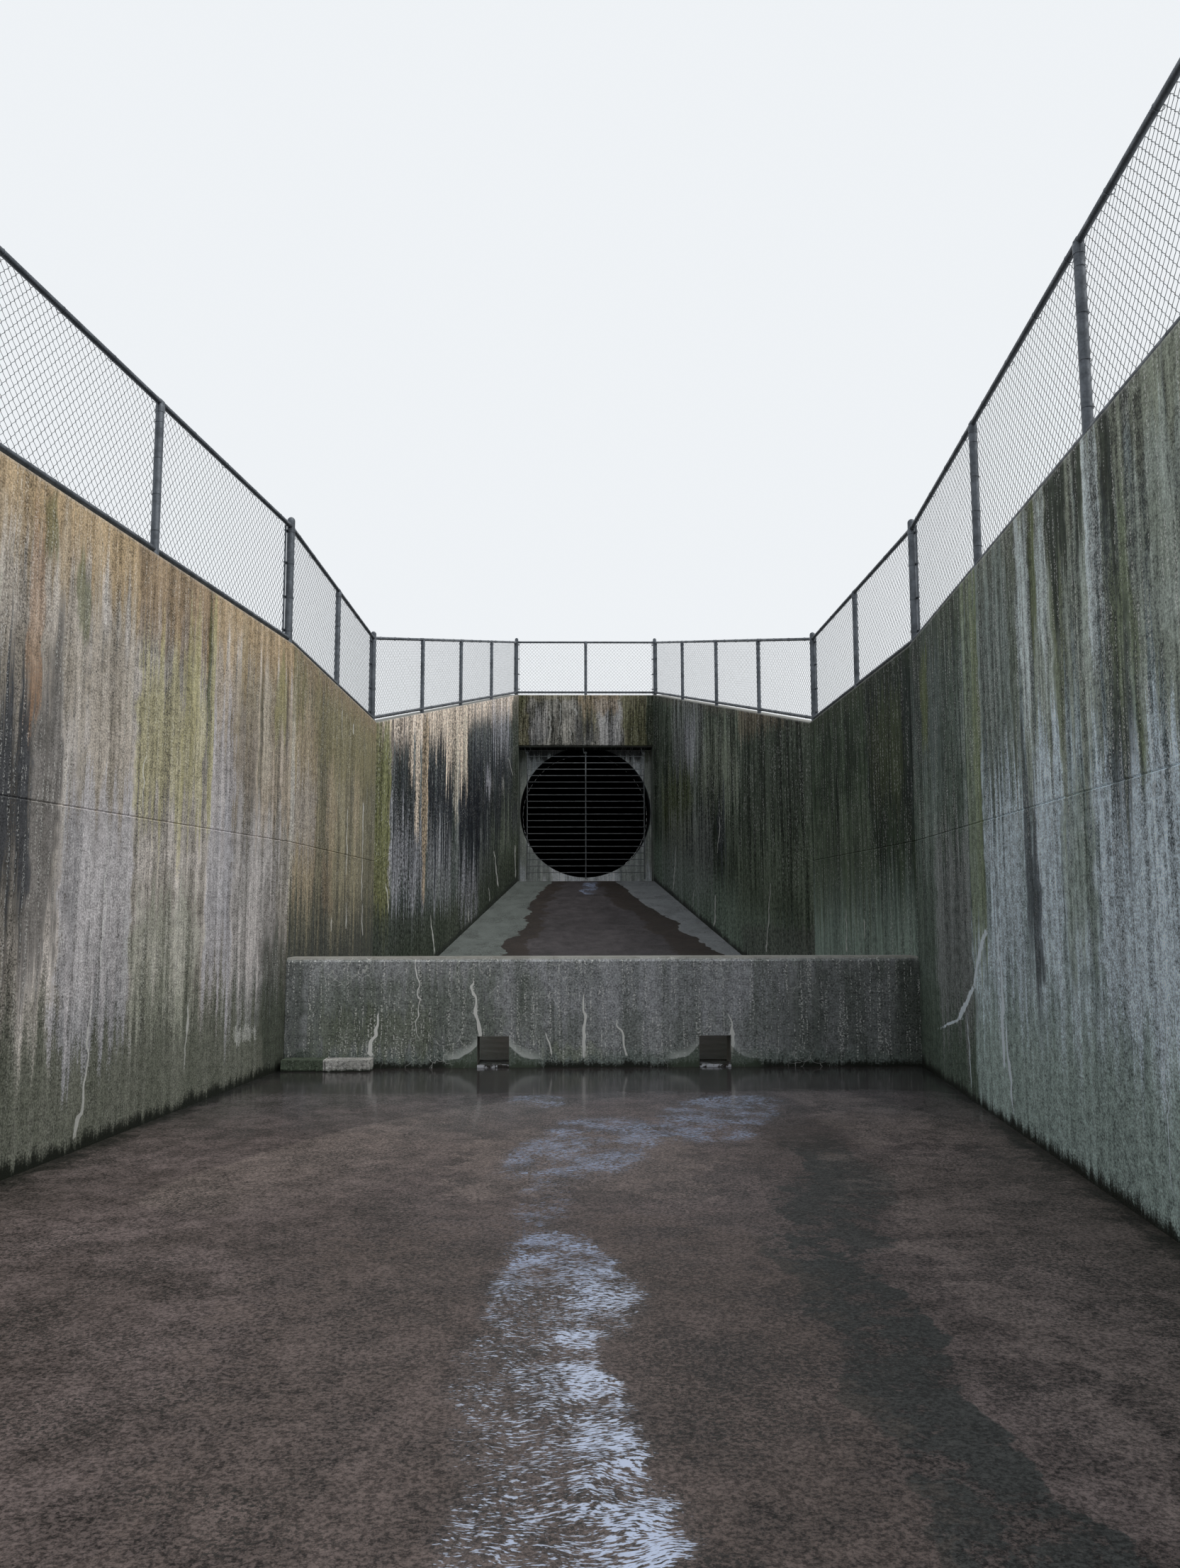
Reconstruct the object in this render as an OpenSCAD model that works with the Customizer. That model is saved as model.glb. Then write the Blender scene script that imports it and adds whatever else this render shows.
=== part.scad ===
// Culvert outlet: a headwall with a hung bar rack, flared wing walls, a chute,
// a stilling basin with an end weir, and the first length of the lined channel.
// X is to the right looking upstream, Y is upstream, Z is up, all in millimetres.
// The origin is under the middle of the weir, on the level that everything stands on.

/* [Channel and basin] */
// Clear width between the side walls
channel_w = 5800; // [4800:50:6400]
// Height of the side walls above the channel floor
wall_h = 3900; // [3300:50:4300]
// Thickness of the floor slabs
floor_t = 300; // [200:10:400]
// Length of the channel below the weir
channel_len = 9400; // [7600:50:9800]
// Turn of the channel below the weir, towards the left looking upstream
channel_turn = 6; // [2:0.5:9]
// Length of the level basin between the weir and the wing walls
basin_len = 4500; // [3600:50:5400]

/* [Walls] */
// Thickness of the walls above the construction joint
wall_t = 250; // [220:10:300]
// Thickness of the walls at their foot
foot_t = 450; // [350:10:600]
// Height of the level construction joint above the channel floor
joint_h = 2050; // [1800:50:2400]
// Depth of the groove along the construction joints
groove = 8; // [4:1:15]

/* [Weir] */
// Height of the weir above the channel floor
weir_h = 990; // [800:10:1200]
// Thickness of the weir
weir_t = 300; // [200:10:400]
// Chamfer on the weir's front top edge
weir_chamfer = 40; // [10:5:60]
// Width of each drain notch
notch_w = 290; // [200:10:400]
// Height of each drain notch
notch_h = 280; // [200:10:350]
// Distance of each drain notch from the middle
notch_x = 1010; // [700:10:1400]

/* [Wing walls and chute] */
// Length of the wing walls, measured upstream
wing_len = 8700; // [7000:50:10000]
// Height of the chute's upper end above the channel floor
sill_h = 1980; // [1500:20:2200]
// Thickness of the chute slab
chute_t = 250; // [200:10:300]

/* [Headwall] */
// Clear width of the recess in the headwall
portal_w = 2840; // [2830:10:2900]
// Height of the headwall's top above the channel floor
head_h = 5920; // [5600:20:6200]
// Height of the recess ceiling above the channel floor
soffit_h = 4830; // [4700:10:4900]
// Depth of the recess in front of the bulkhead
recess_d = 700; // [600:10:800]
// Thickness of the headwall beam
beam_t = 250; // [220:10:300]
// Thickness of the bulkhead
bulkhead_t = 400; // [300:10:500]

/* [Barrel] */
// Bore of the barrel
bore_d = 2810; // [2600:10:2820]
// Height of the barrel's centre above the channel floor
bore_h = 3484; // [3400:2:3500]
// Wall thickness of the barrel
barrel_t = 200; // [150:10:220]
// Length of barrel that is cast into the back of the bulkhead
barrel_len = 900; // [600:50:1200]

/* [Bar rack] */
// Distance between the outer uprights
rack_w = 2490; // [2400:10:2560]
// Diameter of the uprights
upright_d = 25; // [20:1:32]
// Diameter of the cross rods
rod_d = 16; // [12:1:20]
// Number of cross rods
rod_count = 19; // [12:1:24]
// Height of the top rod above the channel floor
rod_top_h = 4645; // [4500:5:4660]
// Height of the bottom rod above the channel floor
rod_low_h = 2170; // [2150:5:2600]
// Height of the hanger pins above the channel floor
pin_h = 4722; // [4710:2:4740]
// Distance of the rack behind the headwall's face
rack_set = 340; // [300:10:380]
// Diameter of the hanger pins
pin_d = 24; // [20:1:28]

/* [Fence] */
// Height of the top rail above the wall
rail_h = 1170; // [1000:10:1300]
// Diameter of the line posts
post_d = 60; // [48:1:73]
// Diameter of the end and corner posts
corner_post_d = 73; // [60:1:89]
// Diameter of the rails
rail_d = 42; // [34:1:48]
// Height of the bottom rail above the wall
low_rail_h = 65; // [40:5:90]
// Distance of the fence's line from the walls' inner faces
set_back = 65; // [50:5:125]
// Width and height of one diamond of the plain fabric
diamond = 372; // [280:2:420]

/* [Hidden] */
$fn = 48;

concrete_warm = "#a89c86";
concrete_grey = "#8f9490";
concrete_floor = "#9a9890";
galvanised = "#aab2b8";
rack_steel = "#8c8f90";

half_w = channel_w / 2;
kink_y = -weir_t / 2;
corner_y = kink_y + basin_len;
head_y = corner_y + wing_len;
face_y = head_y + recess_d;
rear_y = face_y + bulkhead_t;

floor_z = floor_t;
top_z = floor_z + wall_h;
joint_z = floor_z + joint_h;
sill_z = floor_z + sill_h;
head_z = floor_z + head_h;
soffit_z = floor_z + soffit_h;
bore_z = floor_z + bore_h;
roof_t = 300;
bulkhead_z = bore_z + bore_d / 2 + 400;
bulkhead_half = portal_w / 2 + foot_t;
portal_half = portal_w / 2;

// Corners of the right-hand inner faces in plan, going upstream
turn_dir = [-sin(channel_turn), -cos(channel_turn)];
function mirrored(p) = [-p[0], p[1]];
corner_kink = [half_w, kink_y];
corner_wing = [half_w, corner_y];
corner_head = [portal_half, head_y];
corner_face = [portal_half, face_y];
end_right = corner_kink + channel_len * turn_dir;
end_left = mirrored(corner_kink) + channel_len * turn_dir;

function lift(p, z) = [p[0], p[1], z];
function unit(v) = v / norm(v);
function right_of(v) = [v[1], -v[0]];
// Where a line offset outwards by 1 turns the corner between directions a and b
function mitre(a, b) = (right_of(a) + right_of(b)) / (1 + right_of(a) * right_of(b));
// The same for the left-hand walls, whose outside is on the other hand
function mitre_left(a, b) = -mitre(a, b);

dir_up = [0, 1];
dir_wing = unit(corner_wing - corner_head) * -1;
dir_wing_left = mirrored(dir_wing);
dir_channel = -turn_dir;

m_end = right_of(dir_channel);
m_kink = mitre(dir_channel, dir_up);
m_wing = mitre(dir_up, dir_wing);
m_head = mitre(dir_wing, dir_up);
m_kink_left = mitre_left(dir_channel, dir_up);
m_end_left = -m_end;

wing_run = norm(corner_head - corner_wing);

// Places a profile drawn as [along, up] in the vertical plane from a to b.
// Its thickness goes to the right-hand side of the line.
module along(a, b, reach) {
    d = unit(b - a);
    translate([a[0], a[1], 0]) rotate([0, 0, atan2(d[1], d[0])])
        rotate([90, 0, 0]) linear_extrude(reach) children();
}

// Wall section, drawn as [outwards, up]: upright at the face, battered at the back
module wall_section(top) {
    polygon([[0, 0], [foot_t, 0], [wall_t, joint_z], [wall_t, top], [0, top]]);
}

module bar(p, q, d) {
    v = q - p;
    translate(p) rotate([0, acos(v[2] / norm(v)), atan2(v[1], v[0])])
        cylinder(h = norm(v), d = d);
}

// V-groove along the face where two lifts of concrete meet, from height za to zb
module joint_groove(a, za, b, zb) {
    d = unit(b - a);
    bar(lift(a - 200 * d, za - 200 * (zb - za) / norm(b - a)),
        lift(b + 200 * d, zb + 200 * (zb - za) / norm(b - a)), 2 * groove, $fn = 4);
}

// Upright V-groove at the corner where the channel walls meet the basin walls
module corner_groove() {
    translate(corner_kink) rotate([0, 0, 45]) cylinder(h = top_z + 10, r = groove, $fn = 4);
}

// One length of wall on the right-hand side of the water, from a to b going upstream.
// Its ends are cut to the mitres ma and mb, and its side view is children().
module wall_run(a, b, ma, mb, top) {
    run = norm(b - a);
    d = unit(b - a);
    intersection() {
        translate([a[0], a[1], 0]) rotate([0, 0, atan2(d[1], d[0])])
            translate([-foot_t, 0, 0]) rotate([90, 0, 90])
                linear_extrude(run + 2 * foot_t) mirror([1, 0]) wall_section(top);
        linear_extrude(top + 10)
            polygon([a, a + 2 * foot_t * ma, b + 2 * foot_t * mb, b]);
        along(a, b, foot_t + 10) children();
    }
}

module level_view(run, low, high) {
    translate([-foot_t, low]) square([run + 2 * foot_t, high - low]);
}

// Side view between two lines that rise from the wing corner to the headwall
module sloped_view(low_a, low_b, high_a, high_b) {
    e = foot_t;
    function at(za, zb, s) = za + (zb - za) * s / wing_run;
    polygon([[-e, at(low_a, low_b, -e)], [wing_run + e, at(low_a, low_b, wing_run + e)],
        [wing_run + e, at(high_a, high_b, wing_run + e)], [-e, at(high_a, high_b, -e)]]);
}

module left_hand() { mirror([1, 0, 0]) children(); }

// One lift of the channel's wall, which ends at a and has its upright cut ma there
module channel_wall(a, ma, mb, low, high) {
    difference() {
        wall_run(a, corner_kink, ma, mb, high + 10) level_view(channel_len, low, high);
        joint_groove(a, joint_z, corner_kink, joint_z);
        corner_groove();
    }
}

// The left bank is made mirrored, so that the same module serves both banks
module channel_wall_left(low, high) {
    d = mirrored(dir_channel);
    left_hand() channel_wall(mirrored(end_left), right_of(d), mitre(d, dir_up), low, high);
}

module channel_wall_right(low, high) { channel_wall(end_right, m_end, m_kink, low, high); }

// The mitre m at the weir differs left and right, because the channel turns
module basin_wall(low, high, m) {
    difference() {
        wall_run(corner_kink, corner_wing, m, m_wing, high + 10)
            level_view(basin_len, low, high);
        joint_groove(corner_kink, joint_z, corner_wing, joint_z);
        corner_groove();
    }
}

module wing_groove() {
    joint_groove(corner_wing, joint_z, corner_head, joint_z + sill_h);
}

module wing_wall_lower() {
    difference() {
        wall_run(corner_wing, corner_head, m_wing, m_head, head_z)
            sloped_view(0, 0, joint_z, joint_z + sill_h);
        wing_groove();
    }
}

module wing_wall_upper() {
    difference() {
        wall_run(corner_wing, corner_head, m_wing, m_head, head_z + 200)
            sloped_view(joint_z, joint_z + sill_h, top_z, head_z);
        wing_groove();
    }
}

module portal_side() {
    wall_run(corner_head, corner_face, m_head, right_of(dir_up), head_z + 10)
        polygon([[-foot_t, 0], [recess_d, 0], [recess_d, soffit_z + roof_t],
            [beam_t, soffit_z + roof_t], [beam_t, head_z], [-foot_t, head_z]]);
}

module channel_floor() {
    color(concrete_floor) linear_extrude(floor_z)
        polygon([mirrored(corner_kink), corner_kink, end_right, end_left]);
}

module basin_floor() {
    color(concrete_floor) translate([-half_w, weir_t / 2, 0])
        cube([channel_w, basin_len - weir_t, floor_z]);
}

module chute_slab() {
    drop = chute_t / cos(atan(sill_h / wing_len));
    color(concrete_floor) intersection() {
        translate([-half_w, 0, 0]) rotate([90, 0, 90]) linear_extrude(channel_w)
            polygon([[corner_y, floor_z - drop], [head_y, sill_z - drop],
                [head_y, sill_z], [corner_y, floor_z]]);
        linear_extrude(sill_z + 10)
            polygon([mirrored(corner_wing), corner_wing, corner_head, mirrored(corner_head)]);
    }
}

module weir_wall() {
    crest = floor_z + weir_h;
    color(concrete_grey) difference() {
        translate([-half_w, 0, 0]) rotate([90, 0, 90]) linear_extrude(channel_w)
            polygon([[kink_y, 0], [weir_t / 2, 0], [weir_t / 2, crest],
                [kink_y + weir_chamfer, crest], [kink_y, crest - weir_chamfer]]);
        for (side = [-1, 1])
            translate([side * notch_x - notch_w / 2, kink_y - 10, floor_z])
                cube([notch_w, weir_t + 20, notch_h]);
    }
}

module channel_wall_left_lower() { color(concrete_warm) channel_wall_left(0, joint_z); }
module channel_wall_left_upper() { color(concrete_warm) channel_wall_left(joint_z, top_z); }
module channel_wall_right_lower() { color(concrete_grey) channel_wall_right(0, joint_z); }
module channel_wall_right_upper() { color(concrete_grey) channel_wall_right(joint_z, top_z); }
module basin_wall_left_lower() {
    color(concrete_warm) left_hand() basin_wall(0, joint_z, mirrored(m_kink_left));
}
module basin_wall_left_upper() {
    color(concrete_warm) left_hand() basin_wall(joint_z, top_z, mirrored(m_kink_left));
}
module basin_wall_right_lower() { color(concrete_grey) basin_wall(0, joint_z, m_kink); }
module basin_wall_right_upper() { color(concrete_grey) basin_wall(joint_z, top_z, m_kink); }
module wing_wall_left_lower() { color(concrete_warm) left_hand() wing_wall_lower(); }
module wing_wall_left_upper() { color(concrete_warm) left_hand() wing_wall_upper(); }
module wing_wall_right_lower() { color(concrete_grey) wing_wall_lower(); }
module wing_wall_right_upper() { color(concrete_grey) wing_wall_upper(); }
module portal_side_left() { color(concrete_grey) left_hand() portal_side(); }
module portal_side_right() { color(concrete_grey) portal_side(); }

// Sill slab of the recess, with the cut-off wall under its front edge
module portal_sill() {
    color(concrete_floor) translate([-portal_half, 0, 0]) rotate([90, 0, 90])
        linear_extrude(portal_w)
            polygon([[head_y, 0], [head_y + beam_t, 0], [head_y + beam_t, sill_z - chute_t],
                [face_y, sill_z - chute_t], [face_y, sill_z], [head_y, sill_z]]);
}

module portal_roof() {
    color(concrete_grey) translate([-portal_half, head_y + beam_t, soffit_z])
        cube([portal_w, recess_d - beam_t, roof_t]);
}

module headwall_beam() {
    c = weir_chamfer / 2;
    color(concrete_grey) translate([-portal_half, 0, 0]) rotate([90, 0, 90])
        linear_extrude(portal_w)
            polygon([[head_y + c, soffit_z], [head_y + beam_t, soffit_z],
                [head_y + beam_t, head_z], [head_y + c, head_z], [head_y, head_z - c],
                [head_y, soffit_z + c]]);
}

module bulkhead() {
    color(concrete_grey) difference() {
        translate([-bulkhead_half, face_y, 0])
            cube([2 * bulkhead_half, bulkhead_t, bulkhead_z]);
        translate([0, face_y - 10, bore_z]) rotate([-90, 0, 0])
            cylinder(h = bulkhead_t + 20, d = bore_d, $fn = 96);
    }
}

module barrel_end() {
    color(concrete_floor) translate([0, rear_y, bore_z]) rotate([-90, 0, 0])
        difference() {
            cylinder(h = barrel_len, d = bore_d + 2 * barrel_t, $fn = 96);
            translate([0, 0, -10]) cylinder(h = barrel_len + 20, d = bore_d, $fn = 96);
        }
}

// Rack: three uprights hang by eyes on pins, and cross rods are welded to their front
rack_y = head_y + rack_set;
pin_z = floor_z + pin_h;
eye_clear = 0.05;
eye_r = pin_d / 2 + eye_clear + upright_d / 2;
// The uprights stand this far behind the pins, so that the rack hangs straight
hang_back = 13;
upright_low_z = floor_z + 2030;
upright_xs = [-rack_w / 2, 0, rack_w / 2];
weld = 2;
rod_pitch = (rod_top_h - rod_low_h) / (rod_count - 1);

module cross_bar(x0, x1, d) {
    translate([x0, 0, 0]) rotate([0, 90, 0]) cylinder(h = x1 - x0, d = d);
}

// The end of an upright, bent round into an eye
module eye() {
    rotate([0, 90, 0]) rotate_extrude() translate([eye_r, 0]) circle(d = upright_d);
}

module trash_rack() {
    color(rack_steel) {
        for (x = upright_xs) {
            translate([x, rack_y + hang_back, upright_low_z])
                cylinder(h = pin_z - 20 - upright_low_z, d = upright_d);
            translate([x, rack_y, pin_z]) eye();
        }
        for (i = [0 : rod_count - 1])
            translate([0, rack_y + hang_back - (upright_d + rod_d) / 2 + weld,
                floor_z + rod_low_h + i * rod_pitch])
                cross_bar(-rack_w / 2, rack_w / 2, rod_d);
    }
}

// Each hanger is a rod that slants down out of the ceiling and turns into a pin
hanger_d = 20;
hanger_x = -34;
hanger_slant = 20;
pin_end_x = 20;
pin_head_d = 36;
pin_head_w = 8;

module rack_hangers() {
    rise = soffit_z - pin_z;
    color(rack_steel) for (x = upright_xs) translate([x, rack_y, pin_z]) {
        intersection() {
            bar([hanger_x, 0, 0], [hanger_x - 1.5 * hanger_slant, 0, 1.5 * rise], hanger_d);
            translate([-200, -100, 0]) cube([400, 200, rise]);
        }
        cross_bar(hanger_x - hanger_d / 2, pin_end_x, pin_d);
        translate([pin_end_x, 0, 0]) cross_bar(0, pin_head_w, pin_head_d);
    }
}

block_size = [390, 190, 100];
module loose_blocks() {
    color(concrete_grey) {
        translate([-half_w + 25, kink_y - 210, floor_z]) cube(block_size);
        translate([-half_w + 425, kink_y - 225, floor_z]) cube(block_size);
    }
}

// Fence: the posts stand close to the walls' inner edges
kink_post = corner_kink + set_back * m_kink;
kink_post_left = mirrored(corner_kink) + set_back * m_kink_left;
wing_post = corner_wing + set_back * m_wing;
// The wing's fence line, carried on to the fence line of the beam
head_post = [corner_head[0] + (right_of(dir_wing)[0] * set_back
    + dir_wing[0] / dir_wing[1] * (set_back - right_of(dir_wing)[1] * set_back)),
    head_y + set_back];
end_post = end_right + set_back * m_end - 60 * turn_dir;
end_post_left = end_left + set_back * m_end_left - 60 * turn_dir;

function between(a, b, t) = a + (b - a) * t;

channel_shares_left = [0.287, 0.525, 0.76];
channel_shares_right = [0.255, 0.507, 0.755];
basin_shares = [0.49];
wing_shares = [0.25, 0.5, 0.75];
head_shares = [0.5];
top_rail_h = rail_h - rail_d / 2;

// A rail of one straight run, h above the wall, which rises from za at a to zb at b
module rail(a, za, b, zb, h) { bar(lift(a, za + h), lift(b, zb + h), rail_d); }

// Line posts, whose tops are cut to the rail that lies on them. They reach down by sunk.
module line_posts(a, za, b, zb, shares, sunk = 0) {
    for (t = shares) difference() {
        translate(lift(between(a, b, t), between(za, zb, t) - sunk))
            cylinder(h = top_rail_h + sunk, d = post_d);
        rail(a, za, b, zb, top_rail_h);
    }
}

// The space under the sloping top of a wing wall, which cuts the feet of its posts
module under_wing_top() {
    d = unit(corner_head - corner_wing);
    e = 500;
    slope = (head_z - top_z) / wing_run;
    translate([corner_wing[0], corner_wing[1], top_z]) rotate([0, 0, atan2(d[1], d[0])])
        rotate([90, 0, 0]) translate([0, 0, -e]) linear_extrude(2 * e)
            polygon([[-e, -2 * e], [wing_run + e, -2 * e],
                [wing_run + e, slope * (wing_run + e)], [-e, -slope * e]]);
}

module corner_post(p, z) {
    translate(lift(p, z)) cylinder(h = rail_h + 35, d = corner_post_d);
    translate(lift(p, z + rail_h + 35)) intersection() {
        sphere(d = corner_post_d);
        translate([0, 0, corner_post_d / 2]) cube(corner_post_d, center = true);
    }
}

module bank_posts(end, kink, shares) {
    line_posts(kink, top_z, end, top_z, shares);
    corner_post(end, top_z);
    corner_post(kink, top_z);
}

module wing_posts() {
    difference() {
        union() {
            corner_post(wing_post, top_z);
            line_posts(wing_post, top_z, head_post, head_z, wing_shares, 60);
        }
        under_wing_top();
    }
}

module fence_posts_left() {
    color(galvanised) {
        bank_posts(end_post_left, kink_post_left, channel_shares_left);
        line_posts(kink_post_left, top_z, mirrored(wing_post), top_z, basin_shares);
        left_hand() wing_posts();
    }
}

module fence_posts_right() {
    color(galvanised) {
        bank_posts(end_post, kink_post, channel_shares_right);
        line_posts(kink_post, top_z, wing_post, top_z, basin_shares);
        wing_posts();
    }
}

module fence_posts_head() {
    color(galvanised) {
        corner_post(head_post, head_z);
        corner_post(mirrored(head_post), head_z);
        line_posts(head_post, head_z, mirrored(head_post), head_z, head_shares);
    }
}

// The top rail runs over the line posts, and the bottom rail is cut to fit between them
module rails(a, za, b, zb, shares) {
    difference() {
        union() {
            rail(a, za, b, zb, top_rail_h);
            difference() {
                rail(a, za, b, zb, low_rail_h);
                for (t = shares) translate(lift(between(a, b, t), between(za, zb, t) - 100))
                    cylinder(h = 400, d = post_d);
            }
        }
        for (t = [0, 1]) translate(lift(between(a, b, t), between(za, zb, t) - 100))
            cylinder(h = rail_h + 200, d = corner_post_d);
    }
}

module rails_channel_left() {
    color(galvanised) rails(kink_post_left, top_z, end_post_left, top_z, channel_shares_left);
}
module rails_channel_right() {
    color(galvanised) rails(kink_post, top_z, end_post, top_z, channel_shares_right);
}
module rails_basin_left() {
    color(galvanised) rails(kink_post_left, top_z, mirrored(wing_post), top_z, basin_shares);
}
module rails_basin_right() {
    color(galvanised) rails(kink_post, top_z, wing_post, top_z, basin_shares);
}
module rails_wing() { rails(wing_post, top_z, head_post, head_z, wing_shares); }
module rails_wing_left() { color(galvanised) left_hand() rails_wing(); }
module rails_wing_right() { color(galvanised) rails_wing(); }
module rails_head() {
    color(galvanised) rails(head_post, head_z, mirrored(head_post), head_z, head_shares);
}

// Woven fabric, drawn plain: flat bars that cross in large diamonds
fabric_t = 4;
fabric_bar = 10;
fabric_low = 30;
fabric_high = rail_h - 4;

module fabric_sheet(run, rise) {
    count = round(run / diamond);
    step = run / count;
    height = fabric_high - fabric_low;
    rows = round(height / diamond);
    slope = rise / run;
    e = fabric_bar;
    half = fabric_bar / 2;
    function at(s, h) = [s, fabric_low + h + slope * s];
    difference() {
        polygon([at(0, 0), at(run, 0), at(run, height), at(0, height)]);
        polygon([at(e, e), at(run - e, e), at(run - e, height - e), at(e, height - e)]);
    }
    intersection() {
        polygon([at(half, half), at(run - half, half), at(run - half, height - half),
            at(half, height - half)]);
        union() for (i = [-rows : count]) {
            a = i * step;
            b = (i + rows) * step;
            polygon([at(a - half, 0), at(a + half, 0), at(b + half, height), at(b - half, height)]);
            polygon([at(b - half, 0), at(b + half, 0), at(a + half, height), at(a - half, height)]);
        }
    }
}

// The fabric hangs against the outside of the line posts, between its end posts
module fabric(a, za, b, zb, side) {
    gap = corner_post_d / 2 + 8;
    d = unit(b - a);
    run = norm(b - a) - 2 * gap;
    rise = (zb - za) * run / norm(b - a);
    start = a + gap * d;
    off = side > 0 ? post_d / 2 : -post_d / 2 - fabric_t;
    translate([0, 0, za + (zb - za) * gap / norm(b - a)])
        translate([start[0], start[1], 0]) rotate([0, 0, atan2(d[1], d[0])])
            translate([0, -off, 0]) rotate([90, 0, 0])
                linear_extrude(fabric_t) fabric_sheet(run, rise);
}

module fabric_channel_left() {
    color(galvanised) fabric(kink_post_left, top_z, end_post_left, top_z, 1);
}
module fabric_channel_right() { color(galvanised) fabric(kink_post, top_z, end_post, top_z, -1); }
module fabric_basin_left() {
    color(galvanised) fabric(kink_post_left, top_z, mirrored(wing_post), top_z, -1);
}
module fabric_basin_right() { color(galvanised) fabric(kink_post, top_z, wing_post, top_z, 1); }
module fabric_wing() { fabric(wing_post, top_z, head_post, head_z, 1); }
module fabric_wing_left() { color(galvanised) left_hand() fabric_wing(); }
module fabric_wing_right() { color(galvanised) fabric_wing(); }
module fabric_head() { color(galvanised) fabric(mirrored(head_post), head_z, head_post, head_z, -1); }

channel_floor();
basin_floor();
chute_slab();
weir_wall();
channel_wall_left_lower();
channel_wall_left_upper();
channel_wall_right_lower();
channel_wall_right_upper();
basin_wall_left_lower();
basin_wall_left_upper();
basin_wall_right_lower();
basin_wall_right_upper();
wing_wall_left_lower();
wing_wall_left_upper();
wing_wall_right_lower();
wing_wall_right_upper();
portal_side_left();
portal_side_right();
portal_sill();
portal_roof();
headwall_beam();
bulkhead();
barrel_end();
rack_hangers();
trash_rack();
loose_blocks();
fence_posts_left();
fence_posts_right();
fence_posts_head();
rails_channel_left();
rails_channel_right();
rails_basin_left();
rails_basin_right();
rails_wing_left();
rails_wing_right();
rails_head();
fabric_channel_left();
fabric_channel_right();
fabric_basin_left();
fabric_basin_right();
fabric_wing_left();
fabric_wing_right();
fabric_head();
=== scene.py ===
# %% [markdown]
# # A culvert outlet in Blender
# A culvert headwall is the concrete end of a pipe that carries a stream under a road or a bank. This one
# has a round barrel behind a hung bar rack, wing walls that spread over a sloping chute, a small basin
# with an end weir, and the first length of a lined channel with a chain-link fence on its walls.
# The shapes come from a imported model, the frame. This lesson gives them their finishes, and adds the
# thin pieces that are easier to make here: the woven wire, its fittings, the welds and the water.

# %% Load the frame
import math
from types import SimpleNamespace

import bpy
import numpy as np
from mathutils import Matrix, Vector


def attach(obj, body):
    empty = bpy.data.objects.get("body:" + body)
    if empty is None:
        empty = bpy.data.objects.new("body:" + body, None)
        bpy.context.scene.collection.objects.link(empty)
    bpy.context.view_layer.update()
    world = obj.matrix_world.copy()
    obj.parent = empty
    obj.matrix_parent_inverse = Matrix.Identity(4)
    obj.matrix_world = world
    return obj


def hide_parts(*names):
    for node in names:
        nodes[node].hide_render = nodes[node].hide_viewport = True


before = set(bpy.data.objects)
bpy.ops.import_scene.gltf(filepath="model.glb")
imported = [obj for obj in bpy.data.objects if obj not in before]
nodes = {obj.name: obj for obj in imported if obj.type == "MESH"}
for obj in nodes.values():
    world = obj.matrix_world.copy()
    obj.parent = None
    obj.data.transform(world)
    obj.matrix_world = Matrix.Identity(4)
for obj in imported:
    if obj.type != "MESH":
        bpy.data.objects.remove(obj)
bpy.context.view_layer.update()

# %% [markdown]
# ## The camera
# The photograph was taken from the channel floor at eye level, a little left of the middle, with the
# camera tilted up by six degrees. Its place was worked out from the edges of the walls: the camera
# stands 1.45 m above the channel floor, 10.5 m in front of the weir.

# %% Camera
IMAGE_H = 2212
FOCAL_PX = 1598.8
EYE = (-0.293, -10.648, 1.747)
YAW, PITCH, ROLL = 0.016, 0.108, -0.002

forward = Vector((math.sin(YAW) * math.cos(PITCH), math.cos(YAW) * math.cos(PITCH), math.sin(PITCH)))
level_right = Vector((math.cos(YAW), -math.sin(YAW), 0))
level_up = level_right.cross(forward)
right = math.cos(ROLL) * level_right + math.sin(ROLL) * level_up
up = math.cos(ROLL) * level_up - math.sin(ROLL) * level_right
turn = Matrix((right, up, -forward)).transposed().to_4x4()

camera = bpy.data.objects.new("camera", bpy.data.cameras.new("camera"))
bpy.context.scene.collection.objects.link(camera)
camera.matrix_world = Matrix.Translation(EYE) @ turn
camera.data.lens = FOCAL_PX * camera.data.sensor_width / IMAGE_H  # the sensor's width is its long side
camera.data.clip_start, camera.data.clip_end = 0.05, 500
bpy.context.scene.camera = camera
print("lens", round(camera.data.lens, 2), "mm, looking along", [round(v, 3) for v in forward])

# %% [markdown]
# ## Helpers for node trees
# A finish is a chain of small steps: a noise, a ramp, a mix of two colours. Small helpers add a node,
# feed its inputs and hand back its output, so that a finish reads from top to bottom.

# %% Feed sockets and add nodes
def feed(tree, socket, value):
    """Links the socket to another socket, or sets it to a number, a vector or a colour."""
    if isinstance(value, bpy.types.NodeSocket):
        tree.links.new(value, socket)
    elif socket.type == "RGBA" and len(value) == 3:
        socket.default_value = (*value, 1)
    else:
        socket.default_value = value


def add(tree, kind, settings=None, **inputs):
    """Adds a node. Its inputs are named by their sockets' names, with _ for a space."""
    node = tree.nodes.new(kind)
    for key, value in (settings or {}).items():
        setattr(node, key, value)
    for key, value in inputs.items():
        feed(tree, node.inputs[key.replace("_", " ")], value)
    return node


# %% Sums, steps, mixes and noise
def calc(tree, operation, a, b=0.0, c=0.0, clamp=False):
    """One sum on numbers."""
    node = add(tree, "ShaderNodeMath", {"operation": operation, "use_clamp": clamp})
    for socket, value in zip(node.inputs, (a, b, c)):
        feed(tree, socket, value)
    return node.outputs[0]


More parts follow.
